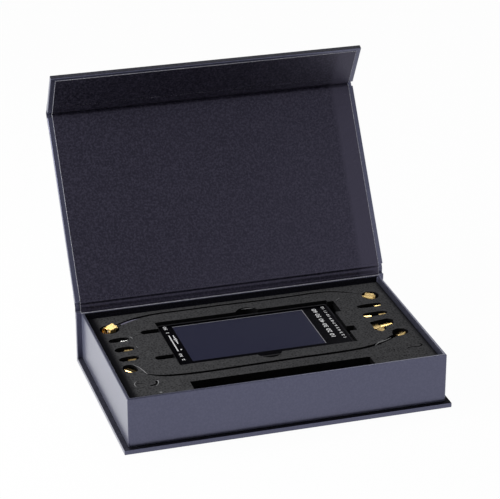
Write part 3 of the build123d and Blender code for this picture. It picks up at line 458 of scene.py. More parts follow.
def nodeMesh(name):
    # a merged copy of a node's mesh, its flat faces whole again
    bm = bmesh.new()
    bm.from_mesh(nodes[name].data)
    bmesh.ops.remove_doubles(bm, verts=bm.verts, dist=meshValues["merge"])
    flat, bent = math.radians(meshValues["flat"]), math.radians(meshValues["bend"])
    bmesh.ops.dissolve_limit(
        bm, angle_limit=flat, verts=bm.verts, edges=bm.edges, use_dissolve_boundaries=False
    )
    for face in bm.faces:
        # only the narrow faces of a curved surface are shaded smooth
        longest = max(edge.calc_length() for edge in face.edges)
        bends = [edge.calc_face_angle(0) for edge in face.edges if len(edge.link_faces) == 2]
        curved = any(flat < bend < bent for bend in bends)
        face.smooth = curved and face.calc_area() / longest < meshValues["narrow"]
    return bm


def roundEdges(bm, edges, width, segments):
    made = bmesh.ops.bevel(
        bm, geom=edges, offset=width, offset_type="OFFSET", segments=segments,
        profile=0.5, affect="EDGES", clamp_overlap=True, material=-1,
    )
    for face in made["faces"]:
        face.smooth = True


def softened(node, width, segments, angle=25, other=None, picks=None, name=None):
    # the node's own shape with its edges rounded; the faces picked carry the other material
    bm = nodeMesh(node)
    chosen = [nodeFinish[slotOf[node]]]
    if other:
        chosen.append(other)
        bm.normal_update()
        for face in bm.faces:
            face.material_index = 1 if picks(face.calc_center_median() / mm, face.normal) else 0
    roundEdges(bm, sharpEdges(bm, angle), width, segments)
    finishNode(bm, node, chosen, name)


def splitFaces(bm, axis, place):
    # new edges where a plane across the axis meets the faces
    at, normal = [0, 0, 0], [0, 0, 0]
    at[axis], normal[axis] = place * mm, 1
    bmesh.ops.bisect_plane(bm, geom=[*bm.verts, *bm.edges, *bm.faces], plane_co=at, plane_no=normal)


def prism(outline, low, high):
    # a closed solid over a flat outline, in millimetres
    bm = bmesh.new()
    rings = [[bm.verts.new((x * mm, y * mm, z * mm)) for x, y in outline] for z in (low, high)]
    for ring in rings:
        bm.faces.new(ring)
    for step, (first, second) in enumerate(zip(*rings)):
        after = (step + 1) % len(outline)
        bm.faces.new((first, rings[0][after], rings[1][after], second))
    bmesh.ops.recalc_face_normals(bm, faces=bm.faces)
    return bm


def combined(bm, others, operation="DIFFERENCE"):
    # the solid less the others, or what it shares with them
    target, *cutters = [placeObject("solid", takeMesh(solid, "solid")) for solid in (bm, *others)]
    for cutter in cutters:
        modifier = target.modifiers.new("cut", "BOOLEAN")
        modifier.operation = operation
        modifier.solver = "EXACT"
        modifier.object = cutter
    result = heldMesh(evaluatedMesh(target))
    for obj in (target, *cutters):
        mesh = obj.data
        bpy.data.objects.remove(obj)
        bpy.data.meshes.remove(mesh)
    bmesh.ops.remove_doubles(result, verts=result.verts, dist=meshValues["merge"])
    return result


def splinePoints(points, resolution=10):
    # the line of a smooth spline through millimetre control points
    curve = bpy.data.curves.new("line", "CURVE")
    curve.dimensions = "3D"
    curve.resolution_u = resolution
    spline = curve.splines.new("NURBS")
    spline.points.add(len(points) - 1)
    for target, point in zip(spline.points, points):
        target.co = (*[value * mm for value in point], 1)
    spline.order_u = 3
    spline.use_endpoint_u = True
    mesh = curveMesh(curve)
    line = [vertex.co / mm for vertex in mesh.vertices]
    bpy.data.meshes.remove(mesh)
    return line


def interpolate(table, value):
    # a value between the rows of a table of places and values
    for (low, first), (high, second) in zip(table, table[1:]):
        if value <= high:
            share = min(max((value - low) / (high - low), 0), 1)
            return first + (second - first) * share
    return table[-1][1]


def direction(line, step):
    # the way a line runs at one of its points
    before, after = line[max(step - 1, 0)], line[min(step + 1, len(line) - 1)]
    return (Vector(after) - Vector(before)).normalized()


def ribbon(line, widthAt):
    # a flat outline either side of a line, as wide as widthAt says for each x
    flat = [tuple(point[:2]) for point in line]
    left, right = [], []
    for step, (x, y) in enumerate(flat):
        along = direction(flat, step)
        side = Vector((-along.y, along.x)) * widthAt(x)
        left.append((x + side.x, y + side.y))
        right.append((x - side.x, y - side.y))
    return left + right[::-1]


def tube(line, radiusAt, sides):
    # a closed round tube along a line in millimetres, with a radius for each step
    bm = bmesh.new()
    rings = []
    for step, point in enumerate(line):
        along = direction(line, step)
        side = along.cross(Vector((0, 0, 1))).normalized()
        up = side.cross(along)
        reach = radiusAt(step) * mm
        ring = []
        for turn in range(sides):
            angle = 2 * math.pi * turn / sides
            place = Vector(point) * mm + (side * math.cos(angle) + up * math.sin(angle)) * reach
            ring.append(bm.verts.new(place))
        rings.append(ring)
    for first, second in zip(rings, rings[1:]):
        for turn in range(sides):
            after = (turn + 1) % sides
            bm.faces.new((first[turn], first[after], second[after], second[turn])).smooth = True
    bm.faces.new(rings[0])
    bm.faces.new(rings[-1])
    bmesh.ops.recalc_face_normals(bm, faces=bm.faces)
    return bm


def mergeInto(bm, other):
    mesh = takeMesh(other, "part")
    bm.from_mesh(mesh)
    bpy.data.meshes.remove(mesh)


# boards of the box
boardValues = {"round": 0.5 * mm, "segments": 3, "leftLedge": -114.4}
trayValues = {"round": 0.85 * mm, "segments": 3, "insideX": 113.5, "insideY": 68.2}


def makeBase(values):
    # the ledge to the left of the tray catches light, the rest of the top lies in the tray's shade
    bm = nodeMesh("base_board")
    ledge = values["leftLedge"]
    splitFaces(bm, 0, ledge)
    bm.normal_update()
    for face in bm.faces:
        if face.normal.z > 0.9:
            face.material_index = 1 if face.calc_center_median().x > ledge * mm else 2
    roundEdges(bm, sharpEdges(bm, 25), values["round"], values["segments"])
    finishNode(bm, "base_board", [wrapPaper, shadePaper, ledgePaper])


def insideTray(middle, normal):
    # the right wall alone faces the light, so it stays plain
    inside = abs(middle.x) < trayValues["insideX"] and abs(middle.y) < trayValues["insideY"]
    return inside and abs(normal.z) < 0.5 and normal.x > -0.5


makeBase(boardValues)
for board in ("spine_board", "lid_board"):
    softened(board, boardValues["round"], boardValues["segments"])
softened(
    "flap_board", boardValues["round"], boardValues["segments"],
    other=ledgePaper, picks=lambda middle, normal: normal.z > 0.6,
)
softened(
    "tray", trayValues["round"], trayValues["segments"], other=shadePaper, picks=insideTray, name="trayShell"
)
print("box boards made")


# papers across the folds and inside the lid
lean = {"spine": 0.0, "lid": math.radians(32.9), "flap": math.radians(-27.9)}
paperValues = {
    "outer": -0.8,  # millimetres from the fold line to the boards' outer faces
    "inner": 2.7,
    "gap": 3.3,  # fold line to the boards
    "lap": 6.0,
    "width": 236.2,
    "paper": 0.14,
    "proud": 0.03,
    "bendSteps": (4, 8),
    "blendReach": 1.0,
    "liner": 0.12,
    "lining": 0.3,
    "line": 0.26,  # pale cut edge of a lining
    "sideMargin": 3.5,
    "lidMargin": 1.0,  # from the lid board's lower edge to its lining
    "linerMargin": 2.4,
    "lidSpan": 144.4,
    "flapLength": 39.9,
    "rimEdge": (68.2, 40.13),  # the liner's cut edge on the tray's rim, painted pale as a painted highlight along the rim, then its next places
    "rimSteps": (0.26, 0.7),
    # over a fold: panel, place along it from the fold line, height over it
    "hingeLine": [
        ("spine", -3.15, 2.4), ("spine", -3.0, 1.0), ("spine", 0.0, 0.9),
        ("lid", 1.5, 1.3), ("lid", 2.1, 2.72), ("lid", 3.9, 2.72),
    ],
    "hingeEnd": ("lid", 10.3, 2.72),
    "foldLine": [
        ("lid", -9.3, 2.72), ("lid", -3.25, 2.72), ("lid", -1.0, 1.2),
        ("flap", 1.0, 1.2), ("flap", 3.25, 2.72), ("flap", 9.3, 2.72),
    ],
    "bends": (0.6, 0.8),
    "lapPlay": 0.1,
    "edgeReach": 0.6,
}


def across(origin, *places):
    # points near a fold line, each from its panel, the way along it and the height over it
    points = []
    for panel, along, height in places:
        sine, cosine = math.sin(lean[panel]), math.cos(lean[panel])
        y, z = along * sine - height * cosine, along * cosine + height * sine
        points.append((origin.y / mm + y, origin.z / mm + z))
    return points


def arcPoints(origin, first, last, reach, steps):
    # round a fold line, from one direction to another, both in radians from +Y
    points = []
    for step in range(steps + 1):
        angle = first + (last - first) * step / steps
        points.append((origin.y / mm + reach * math.cos(angle), origin.z / mm + reach * math.sin(angle)))
    return points


def turnedCorner(before, corner, after, reach, steps):
    # a short curve in place of a corner
    before, corner, after = Vector(before), Vector(corner), Vector(after)
    start = corner + (before - corner).normalized() * min(reach, (before - corner).length * 0.45)
    end = corner + (after - corner).normalized() * min(reach, (after - corner).length * 0.45)
    curve = []
    for step in range(steps + 1):
        share = step / steps
        point = start * (1 - share) ** 2 + corner * 2 * share * (1 - share) + end * share**2
        curve.append((point.x, point.y))
    return curve


def rounded(points, reach, steps=4):
    path = [points[0]]
    for before, corner, after in zip(points, points[1:], points[2:]):
        path += turnedCorner(before, corner, after, reach, steps)
    return [*path, points[-1]]


def sheetAlong(name, path, half, thickness, slotName, materials, body=None, joint=None, line=0.0, hides=()):
    # a paper as thick as thickness to the left of a path in the YZ plane, half as wide as it reaches
    bm = bmesh.new()
    places = [-half, -half + line, half - line, half] if line else [-half, half]
    rows = []
    for step, (y, z) in enumerate(path):
        along = direction(path, step)
        side = Vector((-along.y, along.x)) * thickness
        low = [bm.verts.new((x * mm, y * mm, z * mm)) for x in places]
        high = [bm.verts.new((x * mm, (y + side.x) * mm, (z + side.y) * mm)) for x in places]
        rows.append((low, high))
    last = len(places) - 2
    edgeIndex = 1 if line else 0

    def strip(first, second, column):
        return bm.faces.new((first[column], first[column + 1], second[column + 1], second[column]))

    for (low, high), (lowAfter, highAfter) in zip(rows, rows[1:]):
        for column in range(last + 1):
            for face in (strip(low, lowAfter, column), strip(high, highAfter, column)):
                face.smooth = True
                face.material_index = edgeIndex if column in (0, last) else 0
        for column in (0, last + 1):
            ends = (low[column], lowAfter[column], highAfter[column], high[column])
            bm.faces.new(ends).material_index = edgeIndex
    for low, high in (rows[0], rows[-1]):
        for column in range(last + 1):
            strip(low, high, column).material_index = edgeIndex
    piece = finishPiece(bm, name, body, materials, hides)
    if joint:
        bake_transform(piece)
    return piece


def blendAcross(origin, first, second, a, b, reach):
    # where a paper over a fold starts to leave one body for the other
    start, end = across(origin, (first, -reach, 0), (second, reach, 0))
    return {"a": a, "b": b, "start": (0, start[0] * mm, start[1] * mm), "end": (0, end[0] * mm, end[1] * mm)}


def makePapers(values):
    inner, gap, lap = values["inner"], values["gap"], values["lap"]
    half, thick, line = values["width"] / 2, values["paper"], values["line"]
    hingeBlend = blendAcross(hinge, "spine", "lid", "case", "lid", values["blendReach"])
    foldBlend = blendAcross(fold, "lid", "flap", "lid", "flap", values["blendReach"])

    # over the boards the wrap stands a little proud, round each fold it keeps within the box
    bend = -(values["outer"] + thick) - values["proud"] / 2
    outer = values["outer"] + thick - values["proud"]
    folds = (
        ("hingeWrap", hinge, "spine", "lid", hingeBlend, "spine_crease"),
        ("foldWrap", fold, "lid", "flap", foldBlend, "flap_crease"),
    )
    for (name, origin, first, second, joint, hidden), steps in zip(folds, values["bendSteps"]):
        path = [
            *across(origin, (first, -gap - lap, outer), (first, -gap, outer)),
            *arcPoints(origin, -lean[first], -lean[second], bend, steps),
            *across(origin, (second, gap, outer), (second, gap + lap, outer)),
        ]
        sheetAlong(name, path[::-1], half, thick, "wrapped_board", [wrapPaper], joint=joint, hides=[hidden])

    def liningSheet(name, path, thickness, **more):
        inside = half - values["sideMargin"]
        papers = [liningPaper, cutEdgeAndHighlight]
        return sheetAlong(name, path, inside, thickness, "lining_paper", papers, line=line, **more)

    rimY, rimZ = values["rimEdge"]
    firstStep, nextStep = values["rimSteps"]
    hingePath = rounded(
        [(rimY + nextStep, rimZ), *across(hinge, *values["hingeLine"])], values["bends"][0]
    )
    hingePath = [(rimY, rimZ), (rimY + firstStep, rimZ), *hingePath, *across(hinge, values["hingeEnd"])]
    hingeLiner = liningSheet("hingeLiner", hingePath, values["liner"], joint=hingeBlend)
    foldPath = rounded(across(fold, *values["foldLine"]), values["bends"][1])
    liningSheet("foldLiner", foldPath, values["lining"], joint=foldBlend)
    lidEnd = values["lidSpan"] - gap - lap + values["lapPlay"]
    lidPath = across(hinge, ("lid", gap + values["lidMargin"], inner), ("lid", lidEnd, inner))
    liningSheet("lidLining", lidPath, values["lining"], body="lid", hides=["lid_lining"])
    flapEnd = values["flapLength"] - values["linerMargin"]
    flapPath = across(
        fold, *[("flap", along, inner) for along in (gap + lap - values["lapPlay"], flapEnd - line, flapEnd)]
    )
    flapLining = liningSheet("flapLining", flapPath, values["lining"], body="flap", hides=["flap_lining"])
    # the cut edges on the tray's rim and at the flap's top are painted pale; the rim's one is a painted highlight
    for piece, edge in ((hingeLiner, hingePath[0]), (flapLining, flapPath[-1])):
        for face in piece.data.polygons:
            if (Vector(face.center[1:]) / mm - Vector(edge)).length < values["edgeReach"]:
                face.material_index = 1


makePapers(paperValues)
print("papers made")


# foam
foamValues = {
    "level": 35.5,
    "base": 25.4,
    "lip": 33.5,  # the cuts are narrower from here up
    "halfX": 111.9,
    "halfY": 66.6,
    "past": (1.0, 2.0),  # how far cuts run on below and above the layer
    "overlap": 0.2,  # of a lip's cut with the one below it
    "lipRound": 1.6,
    "slitHalf": 1.3,
    "slitFloors": {"rear": 30.7, "front": 28.82},
    "slitOverlap": 0.15,
    "neckSize": (5.6, 5.5),
    "neckDrop": 1.4,
    "neckTop": 0.1,
    "neckAim": 8,  # points along the line that the neck is turned by
    "kerfDepth": 1.6,
    "round": 0.38 * mm,
    "segments": 2,
    "skin": 0.3,  # faces that look up more than this keep the skin's colour, the rest take the cut colour with its painted shade
}


def box(low, high):
    return [(low[0], low[1]), (high[0], low[1]), (high[0], high[1]), (low[0], high[1])]


def disc(centre, reach, sides=40):
    angles = [2 * math.pi * step / sides for step in range(sides)]
    return [(centre[0] + reach * math.cos(angle), centre[1] + reach * math.sin(angle)) for angle in angles]


def turnedBox(centre, size, angle):
    turn = Matrix.Rotation(math.radians(angle), 2)
    corners = [Vector((x * size[0] / 2, y * size[1] / 2)) for x, y in ((-1, -1), (1, -1), (1, 1), (-1, 1))]
    return [tuple(Vector(centre) + turn @ corner) for corner in corners]


def softOutline(points, reach, steps=5):
    # a closed outline with each corner turned into a short curve
    outline = []
    for step, corner in enumerate(points):
        outline += turnedCorner(points[step - 1], corner, points[(step + 1) % len(points)], reach, steps)
    return outline


def softBoxes(reach, *corners):
    return [softOutline(box(low, high), reach) for low, high in corners]


leadRoutes = {
    "rear": [
        (-93.72, 49.69, 34.3), (-85.28, 55.07, 34.3), (-73.0, 59.8, 33.6), (-59.0, 61.8, 32.5),
        (-38.0, 61.3, 32.0), (-12.0, 61.9, 32.0), (18.0, 60.9, 32.0), (45.0, 61.1, 32.0),
        (62.0, 62.2, 32.0), (75.0, 60.4, 32.0), (85.36, 55.19, 32.0), (93.75, 49.74, 32.0),
    ],
    "front": [
        (-95.52, -22.38, 30.12), (-89.09, -30.04, 30.12), (-79.5, -34.4, 30.12), (-65.0, -36.2, 30.12),
        (-44.0, -36.6, 30.12), (-14.0, -35.6, 30.12), (16.0, -35.0, 30.12), (43.0, -35.3, 30.12),
        (63.0, -34.4, 30.12), (76.0, -31.6, 30.12), (86.02, -26.63, 30.12), (94.31, -21.03, 30.12),
    ],
}
leadLines = {name: splinePoints(route) for name, route in leadRoutes.items()}

foamHoles = {
    # whole height of the layer
    "through": [
        box((-65.3, -22.05), (65.3, 47.55)),
        *softBoxes(0.8, ((60, 27), (70, 45)), ((59, -5.25), (71, 2.25))),
        disc((0, -19.35), 9.4),
        disc((4, 43.65), 9.4),
        *softBoxes(0.6, ((-65.25, -62), (65.25, -47.7))),
    ],
    # under the narrower lips
    "under": [
        *softBoxes(
            0.8,
            ((-78.4, 30.4), (-64.4, 38.65)), ((-78.4, -11.3), (-64.4, -3.05)),
            ((-103.8, 21.93), (-90, 31.77)),
            ((-103.8, 6.88), (-90, 16.72)), ((-103.8, -8.17), (-90, 1.67)), ((83.1, 24.38), (102.5, 34.22)),
            ((82.4, 10.08), (101.8, 19.92)),
        ),
        softOutline(turnedBox((92.3, 1.5), (17.4, 7), 12), 0.8),
        softOutline(turnedBox((88.6, -5.6), (9.84, 14.6), 12), 0.8),
        disc((-99.7, -17.4), 6.9),
        disc((99.7, -17.4), 6.9),
    ],
    # the lips themselves
    "lips": [
        [(-79.4, 34.5), (-78.2, 36.7), (-76, 37.5), (-64, 37.5), (-64, 31.5), (-76.2, 31.5), (-78.3, 32.2)],
        [(-79.4, -7), (-78, -4.6), (-75.6, -4.2), (-64, -4.2), (-64, -10.2), (-76, -10.2), (-78.3, -9.5)],
        [
            (-104.8, 27), (-102.4, 30.4), (-97, 31.3), (-92, 31.2),
            (-89, 29.4), (-90.2, 25.4), (-96, 24.5), (-102.8, 24.7),
        ],
        [
            (-104.1, 12.2), (-101.6, 15.5), (-96.6, 16.4), (-91.4, 16.2),
            (-88.6, 13.8), (-90, 10), (-96.2, 9.1), (-102.4, 9.3),
        ],
        [
            (-104.5, -2.8), (-101.8, 0.4), (-97, 1.1), (-91.6, 0.9),
            (-89.1, -1.6), (-90.6, -5.2), (-96.6, -5.8), (-102.6, -5.6),
        ],
        [
            (-105, -16.8), (-103.6, -12.4), (-100.2, -10.8), (-96.4, -12.2),
            (-94.7, -17.2), (-95, -22), (-98.2, -23.2), (-102.8, -21.6),
        ],
        [
            (82.6, 29.6), (84.6, 32.1), (91, 32.9), (99.8, 32.7),
            (102.6, 30.6), (101, 28), (93, 27), (84.8, 27.2),
        ],
        [
            (82, 15.2), (84, 18.2), (91, 18.9), (99.6, 18.7),
            (102, 16.4), (100.2, 13.4), (92, 12.4), (84, 11.8),
        ],
        [
            (83, 3.4), (97.6, 6.2), (101.2, 3.4), (99.6, -3.4), (94.2, -4.4),
            (92.8, -8.4), (87.4, -13), (82.8, -8.6), (83.6, -3),
        ],
        [
            (92.6, -18.6), (94.6, -13.4), (98.8, -11.4), (103.8, -13),
            (105.6, -17), (103.6, -21.2), (98.8, -22.7), (93.6, -23.2),
        ],
    ],
}
rearPockets = [
    # outline below the lip, floor, opening
    (disc((-99.2, 46.2), 7.6), 29.58, [
        (-106.6, 46.4), (-104.6, 51.6), (-99.6, 53.4), (-93.6, 51.6),
        (-91.6, 46.6), (-93.4, 41.2), (-98.6, 38.8), (-104.4, 40.8),
    ]),
    (disc((99.2, 46.2), 6.9), 27.28, [
        (92.6, 46.4), (94.6, 51.4), (99.4, 53), (104.2, 51.2),
        (106, 46.4), (104, 40.8), (99, 39), (94.2, 41.2),
    ]),
]
slitWidths = {
    # half the width at the surface for each x
    "rear": [
        (-95, 1.9), (-88, 1.9), (-80, 1.7), (-70, 1.2), (-20, 1.05), (60, 0.95), (78, 0.7),
        (86, 0.35), (94, 0.15),
    ],
    "front": [
        (-96, 0.15), (-90, 0.25), (-87, 0.8), (-80, 1.2), (-70, 1.35),
        (0, 1.45), (70, 1.4), (80, 1.4), (88, 1.7), (95, 1.9),
    ],
}
kerfs = [
    ([(-103.6, -42.2), (-102.2, -40.4), (-98.8, -40.6), (-95.4, -41.6)], 0.22),
    ([(-104.6, -45.4), (-102, -47.4), (-97, -46.8)], 0.2),
    ([(-92.4, -45.6), (-89, -45.4), (-86.6, -42.6), (-87.2, -40.2)], 0.8),
    ([(84.6, -41.2), (86, -42.6), (85, -44)], 0.35),
    ([(94.6, -43.4), (98, -41.6), (102.4, -43.2), (106.2, -42), (107.4, -39.8), (105.8, -38.2)], 0.4),
    ([(88.6, -52.6), (90.4, -53.6)], 0.35),
]
# lines of torn foam, and of painted highlight where a cut edge of the foam catches the light
tornAndHighlightLines = [
    ([(-96.4, -12), (-93.4, -16.6), (-92, -21.6), (-91.2, -25.4), (-90.2, -28.6)], 0.26),
    ([(-88.2, 30.8), (-86.6, 29), (-87, 26.8)], 0.2),
    ([(-87.2, 15.2), (-86.8, 12.4)], 0.12),
    ([(-86.2, -39.6), (-84.6, -42.6), (-88.6, -47)], 0.42),
    ([(-100.2, -36.8), (-103.6, -40.4), (-102.1, -44.5)], 0.26),
    ([(-88.8, -56.6), (-87.2, -57.8)], 0.5),
    ([(74.6, -32.8), (77, -30.4), (79.2, -28.8), (83, -27.7), (86.5, -26.3), (89.4, -24.3)], 0.5),
    ([(76, 47.8), (74.4, 47.2), (72.6, 45.6)], 0.2),
    ([(1, 50.6), (5.6, 50.9), (9.6, 50.2)], 0.24),
]


def makeFoamTop(values):
    level, base, lip = values["level"], values["base"], values["lip"]
    below, top, mouth = base - values["past"][0], level + values["past"][1], lip - values["overlap"]
    slab = prism(box((-values["halfX"], -values["halfY"]), (values["halfX"], values["halfY"])), base, level)
    cutters = [prism(outline, below, top) for outline in foamHoles["through"]]
    cutters += [prism(outline, below, lip) for outline in foamHoles["under"]]
    cutters += [prism(softOutline(outline, values["lipRound"]), mouth, top) for outline in foamHoles["lips"]]
    for outline, floor, opening in rearPockets:
        cutters.append(prism(outline, floor, lip))
        cutters.append(prism(softOutline(opening, 2 * values["lipRound"]), mouth, top))
    for name, floor in values["slitFloors"].items():
        line, widths = leadLines[name], slitWidths[name]
        cutters.append(prism(ribbon(line, lambda x: values["slitHalf"]), floor, lip))
        slit = ribbon(line, lambda x: interpolate(widths, x))
        cutters.append(prism(slit, lip - values["slitOverlap"], top))
        aim = values["neckAim"]
        for end, inward in ((line[0], line[aim]), (line[-1], line[-1 - aim])):
            turn = math.degrees(math.atan2(inward[1] - end[1], inward[0] - end[0]))
            neck = turnedBox((end[0], end[1]), values["neckSize"], turn)
            cutters.append(prism(neck, floor - values["neckDrop"], lip - values["neckTop"]))
    for points, width in kerfs:
        line = splinePoints([(x, y, level) for x, y in points], 4)
        cutters.append(prism(ribbon(line, lambda x: width), level - values["kerfDepth"], top))
    bm = combined(slab, cutters)

    def onTop(edge):
        flat = all(abs(vertex.co.z - level * mm) < meshValues["merge"] for vertex in edge.verts)
        return flat and any(face.normal.z < 0.5 for face in edge.link_faces)

    bmesh.ops.dissolve_limit(bm, angle_limit=math.radians(0.4), verts=bm.verts, edges=bm.edges)
    rims = [edge for edge in sharpEdges(bm, 40) if onTop(edge)]
    roundEdges(bm, rims, values["round"], values["segments"])
    bm.normal_update()
    for face in bm.faces:
        face.material_index = 0 if face.normal.z > values["skin"] else 1
    finishNode(bm, "foam_top", [foamSkin, foamCut])


tornAndHighlightValues = {"lift": 0.02, "thin": 0.25, "sides": 8, "resolution": 5}


def makeTornAndHighlightLines(level, values):
    # a raised pale line along each tear and lit cut edge, thin at its ends: torn foam, and a painted highlight on
    # the foam's cut edges
    bm = bmesh.new()
    thin = values["thin"]
    for points, reach in tornAndHighlightLines:
        line = splinePoints([(x, y, level + values["lift"]) for x, y in points], values["resolution"])
        turns = [math.pi * (step + 0.5) / len(line) for step in range(len(line))]
        swell = [reach * (thin + (1 - thin) * math.sin(turn)) for turn in turns]
        mergeInto(bm, tube(line, swell.__getitem__, values["sides"]))
    finishPiece(bm, "foamTears", "case", [tornFoam])


makeFoamTop(foamValues)
makeTornAndHighlightLines(foamValues["level"], tornAndHighlightValues)
print("foam made")


# leads
leadValues = {
    "radius": 1.0,
    "sides": 20,
    "ferruleLength": 5.2,
    # share of the length, radius
    "ferrule": [(0.0, 1.55), (0.3, 1.55), (0.5, 1.519), (0.72, 1.395), (0.9, 1.24), (1.0, 1.0695)],
}


def makeLead(name, values):
    line = leadLines[name]
    bm = tube(line, lambda step: values["radius"], values["sides"])
    finishNode(bm, name + "_lead", [finish["leadJacket"]])
    bm = bmesh.new()
    for points in (line, line[::-1]):
        start, onward = Vector(points[0]), Vector(points[3])
        along = (onward - start).normalized() * values["ferruleLength"]
        sleeve = [start + along * share for share, radius in values["ferrule"]]
        mergeInto(bm, tube(sleeve, lambda step: values["ferrule"][step][1], values["sides"]))
    finishPiece(bm, name + "LeadSleeves", name + "_lead", [finish["rubber"]])


for leadName in leadRoutes:
    makeLead(leadName, leadValues)
print("leads made")


# coaxial connectors
connectorValues = {
    "corner": 4.6188,
    "bore": 3.25,
    "neckHole": 2.51,
    "rear": 1.6,
    "chamferReach": 4.28,
    "chamferSlope": 0.55,
    "outside": 0.2,  # of the turned cut beyond the nut's corners
    "past": 0.01,  # and beyond its ends
    "collarReach": 3.85,
    "collarDraft": 0.001,
    "collarChamfer": 0.2,
    "round": 0.09 * mm,
    "threadRadius": 3.125,
    "threadDepth": 0.36,
    "pitch": 0.7056,
    # share of the pitch, share of the depth
    "threadShape": [(0.12, 1.0), (0.45, 0.0), (0.62, 0.0), (0.95, 1.0)],
    "jackMouth": [2.85, 2.3],
    "jackDepth": 6.0,
    # shoulder, socket and pin of a plug: radius, place
    "plugShape": [
        (2.45, 0), (3.0, 0), (3.0, 1.0), (2.3, 1.0), (2.3, 2.8), (2.05, 2.8), (2.05, 1.0),
        (0.45, 1.0), (0.45, 3.7), (0.25, 4.0), (0, 4.0),
    ],
    "plugPlay": 0.2,
    "steps": 40,
    "nutSteps": 48,
}
connectorZ = 30.12
plugPlaces = {
    # centre of the nut, direction of the lead behind it, nut length, roll, length of the round collar,
    # which sits at the mouth, or at the rear where it is below zero
    "rear_lead_nut_left": ((-99.2, 46.2, 34.3), 32.5, 8.0, 36.4, 1.5),
    "rear_lead_nut_right": ((99.2, 46.2, 32.0), 147.0, 8.0, 9.0, 1.2),
    "front_lead_nut_left": ((-99.7, -17.4, connectorZ), -50.0, 8.0, 8.0, 0.0),
    "front_lead_nut_right": ((99.7, -17.4, connectorZ), 214.0, 8.0, -16.0, 0.0),
    "load_standard_nut": ((-93.8, -3.25, connectorZ), 180.0, 7.0, 8.5, 1.2),
    "short_standard_nut": ((-93.8, 11.8, connectorZ), 180.0, 7.0, 12.0, -1.0),
    "open_standard_nut": ((-93.8, 26.85, connectorZ), 180.0, 7.0, 20.5, -1.8),
    "jack_adapter_nut": ((99.0, 29.3, connectorZ), 180.0, 6.4, 20.5, -0.9),
    "plug_adapter_nut_left": ((85.9, 15.0, connectorZ), 0.0, 6.4, 39.8, 0.0),
    "plug_adapter_nut_right": ((98.3, 15.0, connectorZ), 180.0, 6.4, 7.0, 0.8),
    "elbow_adapter_nut": ((88.7802, -7.0339, connectorZ), 102.0, 6.4, 6.0, 0.0),
}


def axisFrame(centre, turn):
    # a connector's own frame: Z is the way its mouth points, X is up
    angle = math.radians(turn)
    mouth = Vector((-math.cos(angle), -math.sin(angle), 0))
    up = Vector((0, 0, 1))
    side = mouth.cross(up)
    frameMatrix = Matrix((up, side, mouth)).transposed().to_4x4()
    frameMatrix.translation = Vector(centre) * mm
    return frameMatrix


def turnedBody(profile, steps):
    # a closed turned solid round Z; each point of the profile is a radius and a place
    bm = bmesh.new()
    verts = [bm.verts.new((radius * mm, 0, place * mm)) for radius, place in profile]
    edges = [bm.edges.new(pair) for pair in zip(verts, verts[1:] + verts[:1])]
    bmesh.ops.spin(
        bm, geom=verts + edges, cent=(0, 0, 0), axis=(0, 0, 1), dvec=(0, 0, 0),
        angle=2 * math.pi, steps=steps, use_merge=True, use_duplicate=False,
    )
    bmesh.ops.remove_doubles(bm, verts=bm.verts, dist=meshValues["turnedMerge"])
    bmesh.ops.dissolve_degenerate(bm, dist=meshValues["fineMerge"], edges=bm.edges)
    bmesh.ops.recalc_face_normals(bm, faces=bm.faces)
    for face in bm.faces:
        face.smooth = True
    for edge in sharpEdges(bm, 30):
        edge.smooth = False
    return bm


def placed(bm, matrix):
    bmesh.ops.transform(bm, matrix=matrix, verts=bm.verts)
    return bm


def makeNut(node, place, values, material):
    centre, turn, length, roll, collar = place
    half, steps = length / 2, values["nutSteps"]
    ring = []
    for corner in range(6):
        angle = math.radians(30 + roll + 60 * corner)
        ring.append((values["corner"] * math.cos(angle), values["corner"] * math.sin(angle)))
    past, draft, chamfer = values["past"], values["collarDraft"], values["collarChamfer"]
    reach, outer = values["chamferReach"], values["corner"] + values["outside"]
    slope = (outer - reach) * values["chamferSlope"]
    edge = values["collarReach"] if collar else reach
    shoulder = half - abs(collar)
    profile = [
        (0, -half - past), (reach, -half - past), (outer, -half + slope), (outer, shoulder - slope),
        (reach, shoulder), (edge - draft, shoulder + 2 * past), (edge - 2 * draft, half - chamfer),
        (edge - chamfer, half + past), (0, half + past),
    ]
    if collar < 0:
        profile = [(radius, -place) for radius, place in profile][::-1]
    bm = combined(prism(ring, -half, half), [turnedBody(profile, steps)], "INTERSECT")
    holes = []
    for radius, low, high in (
        (values["bore"], values["rear"] - half, half + 1), (values["neckHole"], -half - 1, half),
    ):
        holes.append(turnedBody([(0, low), (radius, low), (radius, high), (0, high)], steps))
    bm = combined(bm, holes)
    bmesh.ops.dissolve_limit(bm, angle_limit=math.radians(1.0), verts=bm.verts, edges=bm.edges)
    roundEdges(bm, sharpEdges(bm, 28), values["round"], 2)
    finishNode(placed(bm, axisFrame(centre, turn)), node, [material])


for nutNode, nutPlace in plugPlaces.items():
    plate = "silverPlate" if nutNode.startswith("open") else "goldPlate"
    makeNut(nutNode, nutPlace, connectorValues, finish[plate])
nodes["open_standard"].data.materials[0] = finish["silverPlate"]


def threadProfile(start, end, values):
    # the outline of a thread's crests and roots from start to end
    points = []
    turns = int((end - start) / values["pitch"])
    step = (end - start) / turns
    for turn in range(turns):
        for share, depth in values["threadShape"]:
            radius = values["threadRadius"] - values["threadDepth"] * depth
            points.append((radius, start + turn * step + step * share))
    return points


def jackProfile(thread, mouth, values):
    # the thread and the open mouth of a jack
    outer, bore = values["jackMouth"]
    floor = mouth - values["jackDepth"]
    return [*threadProfile(*thread, values), (outer, mouth), (bore, mouth), (bore, floor), (0, floor)]


def plugProfile(length, offset, values):
    # what stands in a nut of this length
    rear = values["rear"] - length / 2 + values["plugPlay"] + offset
    return [(radius, rear + place) for radius, place in values["plugShape"]]


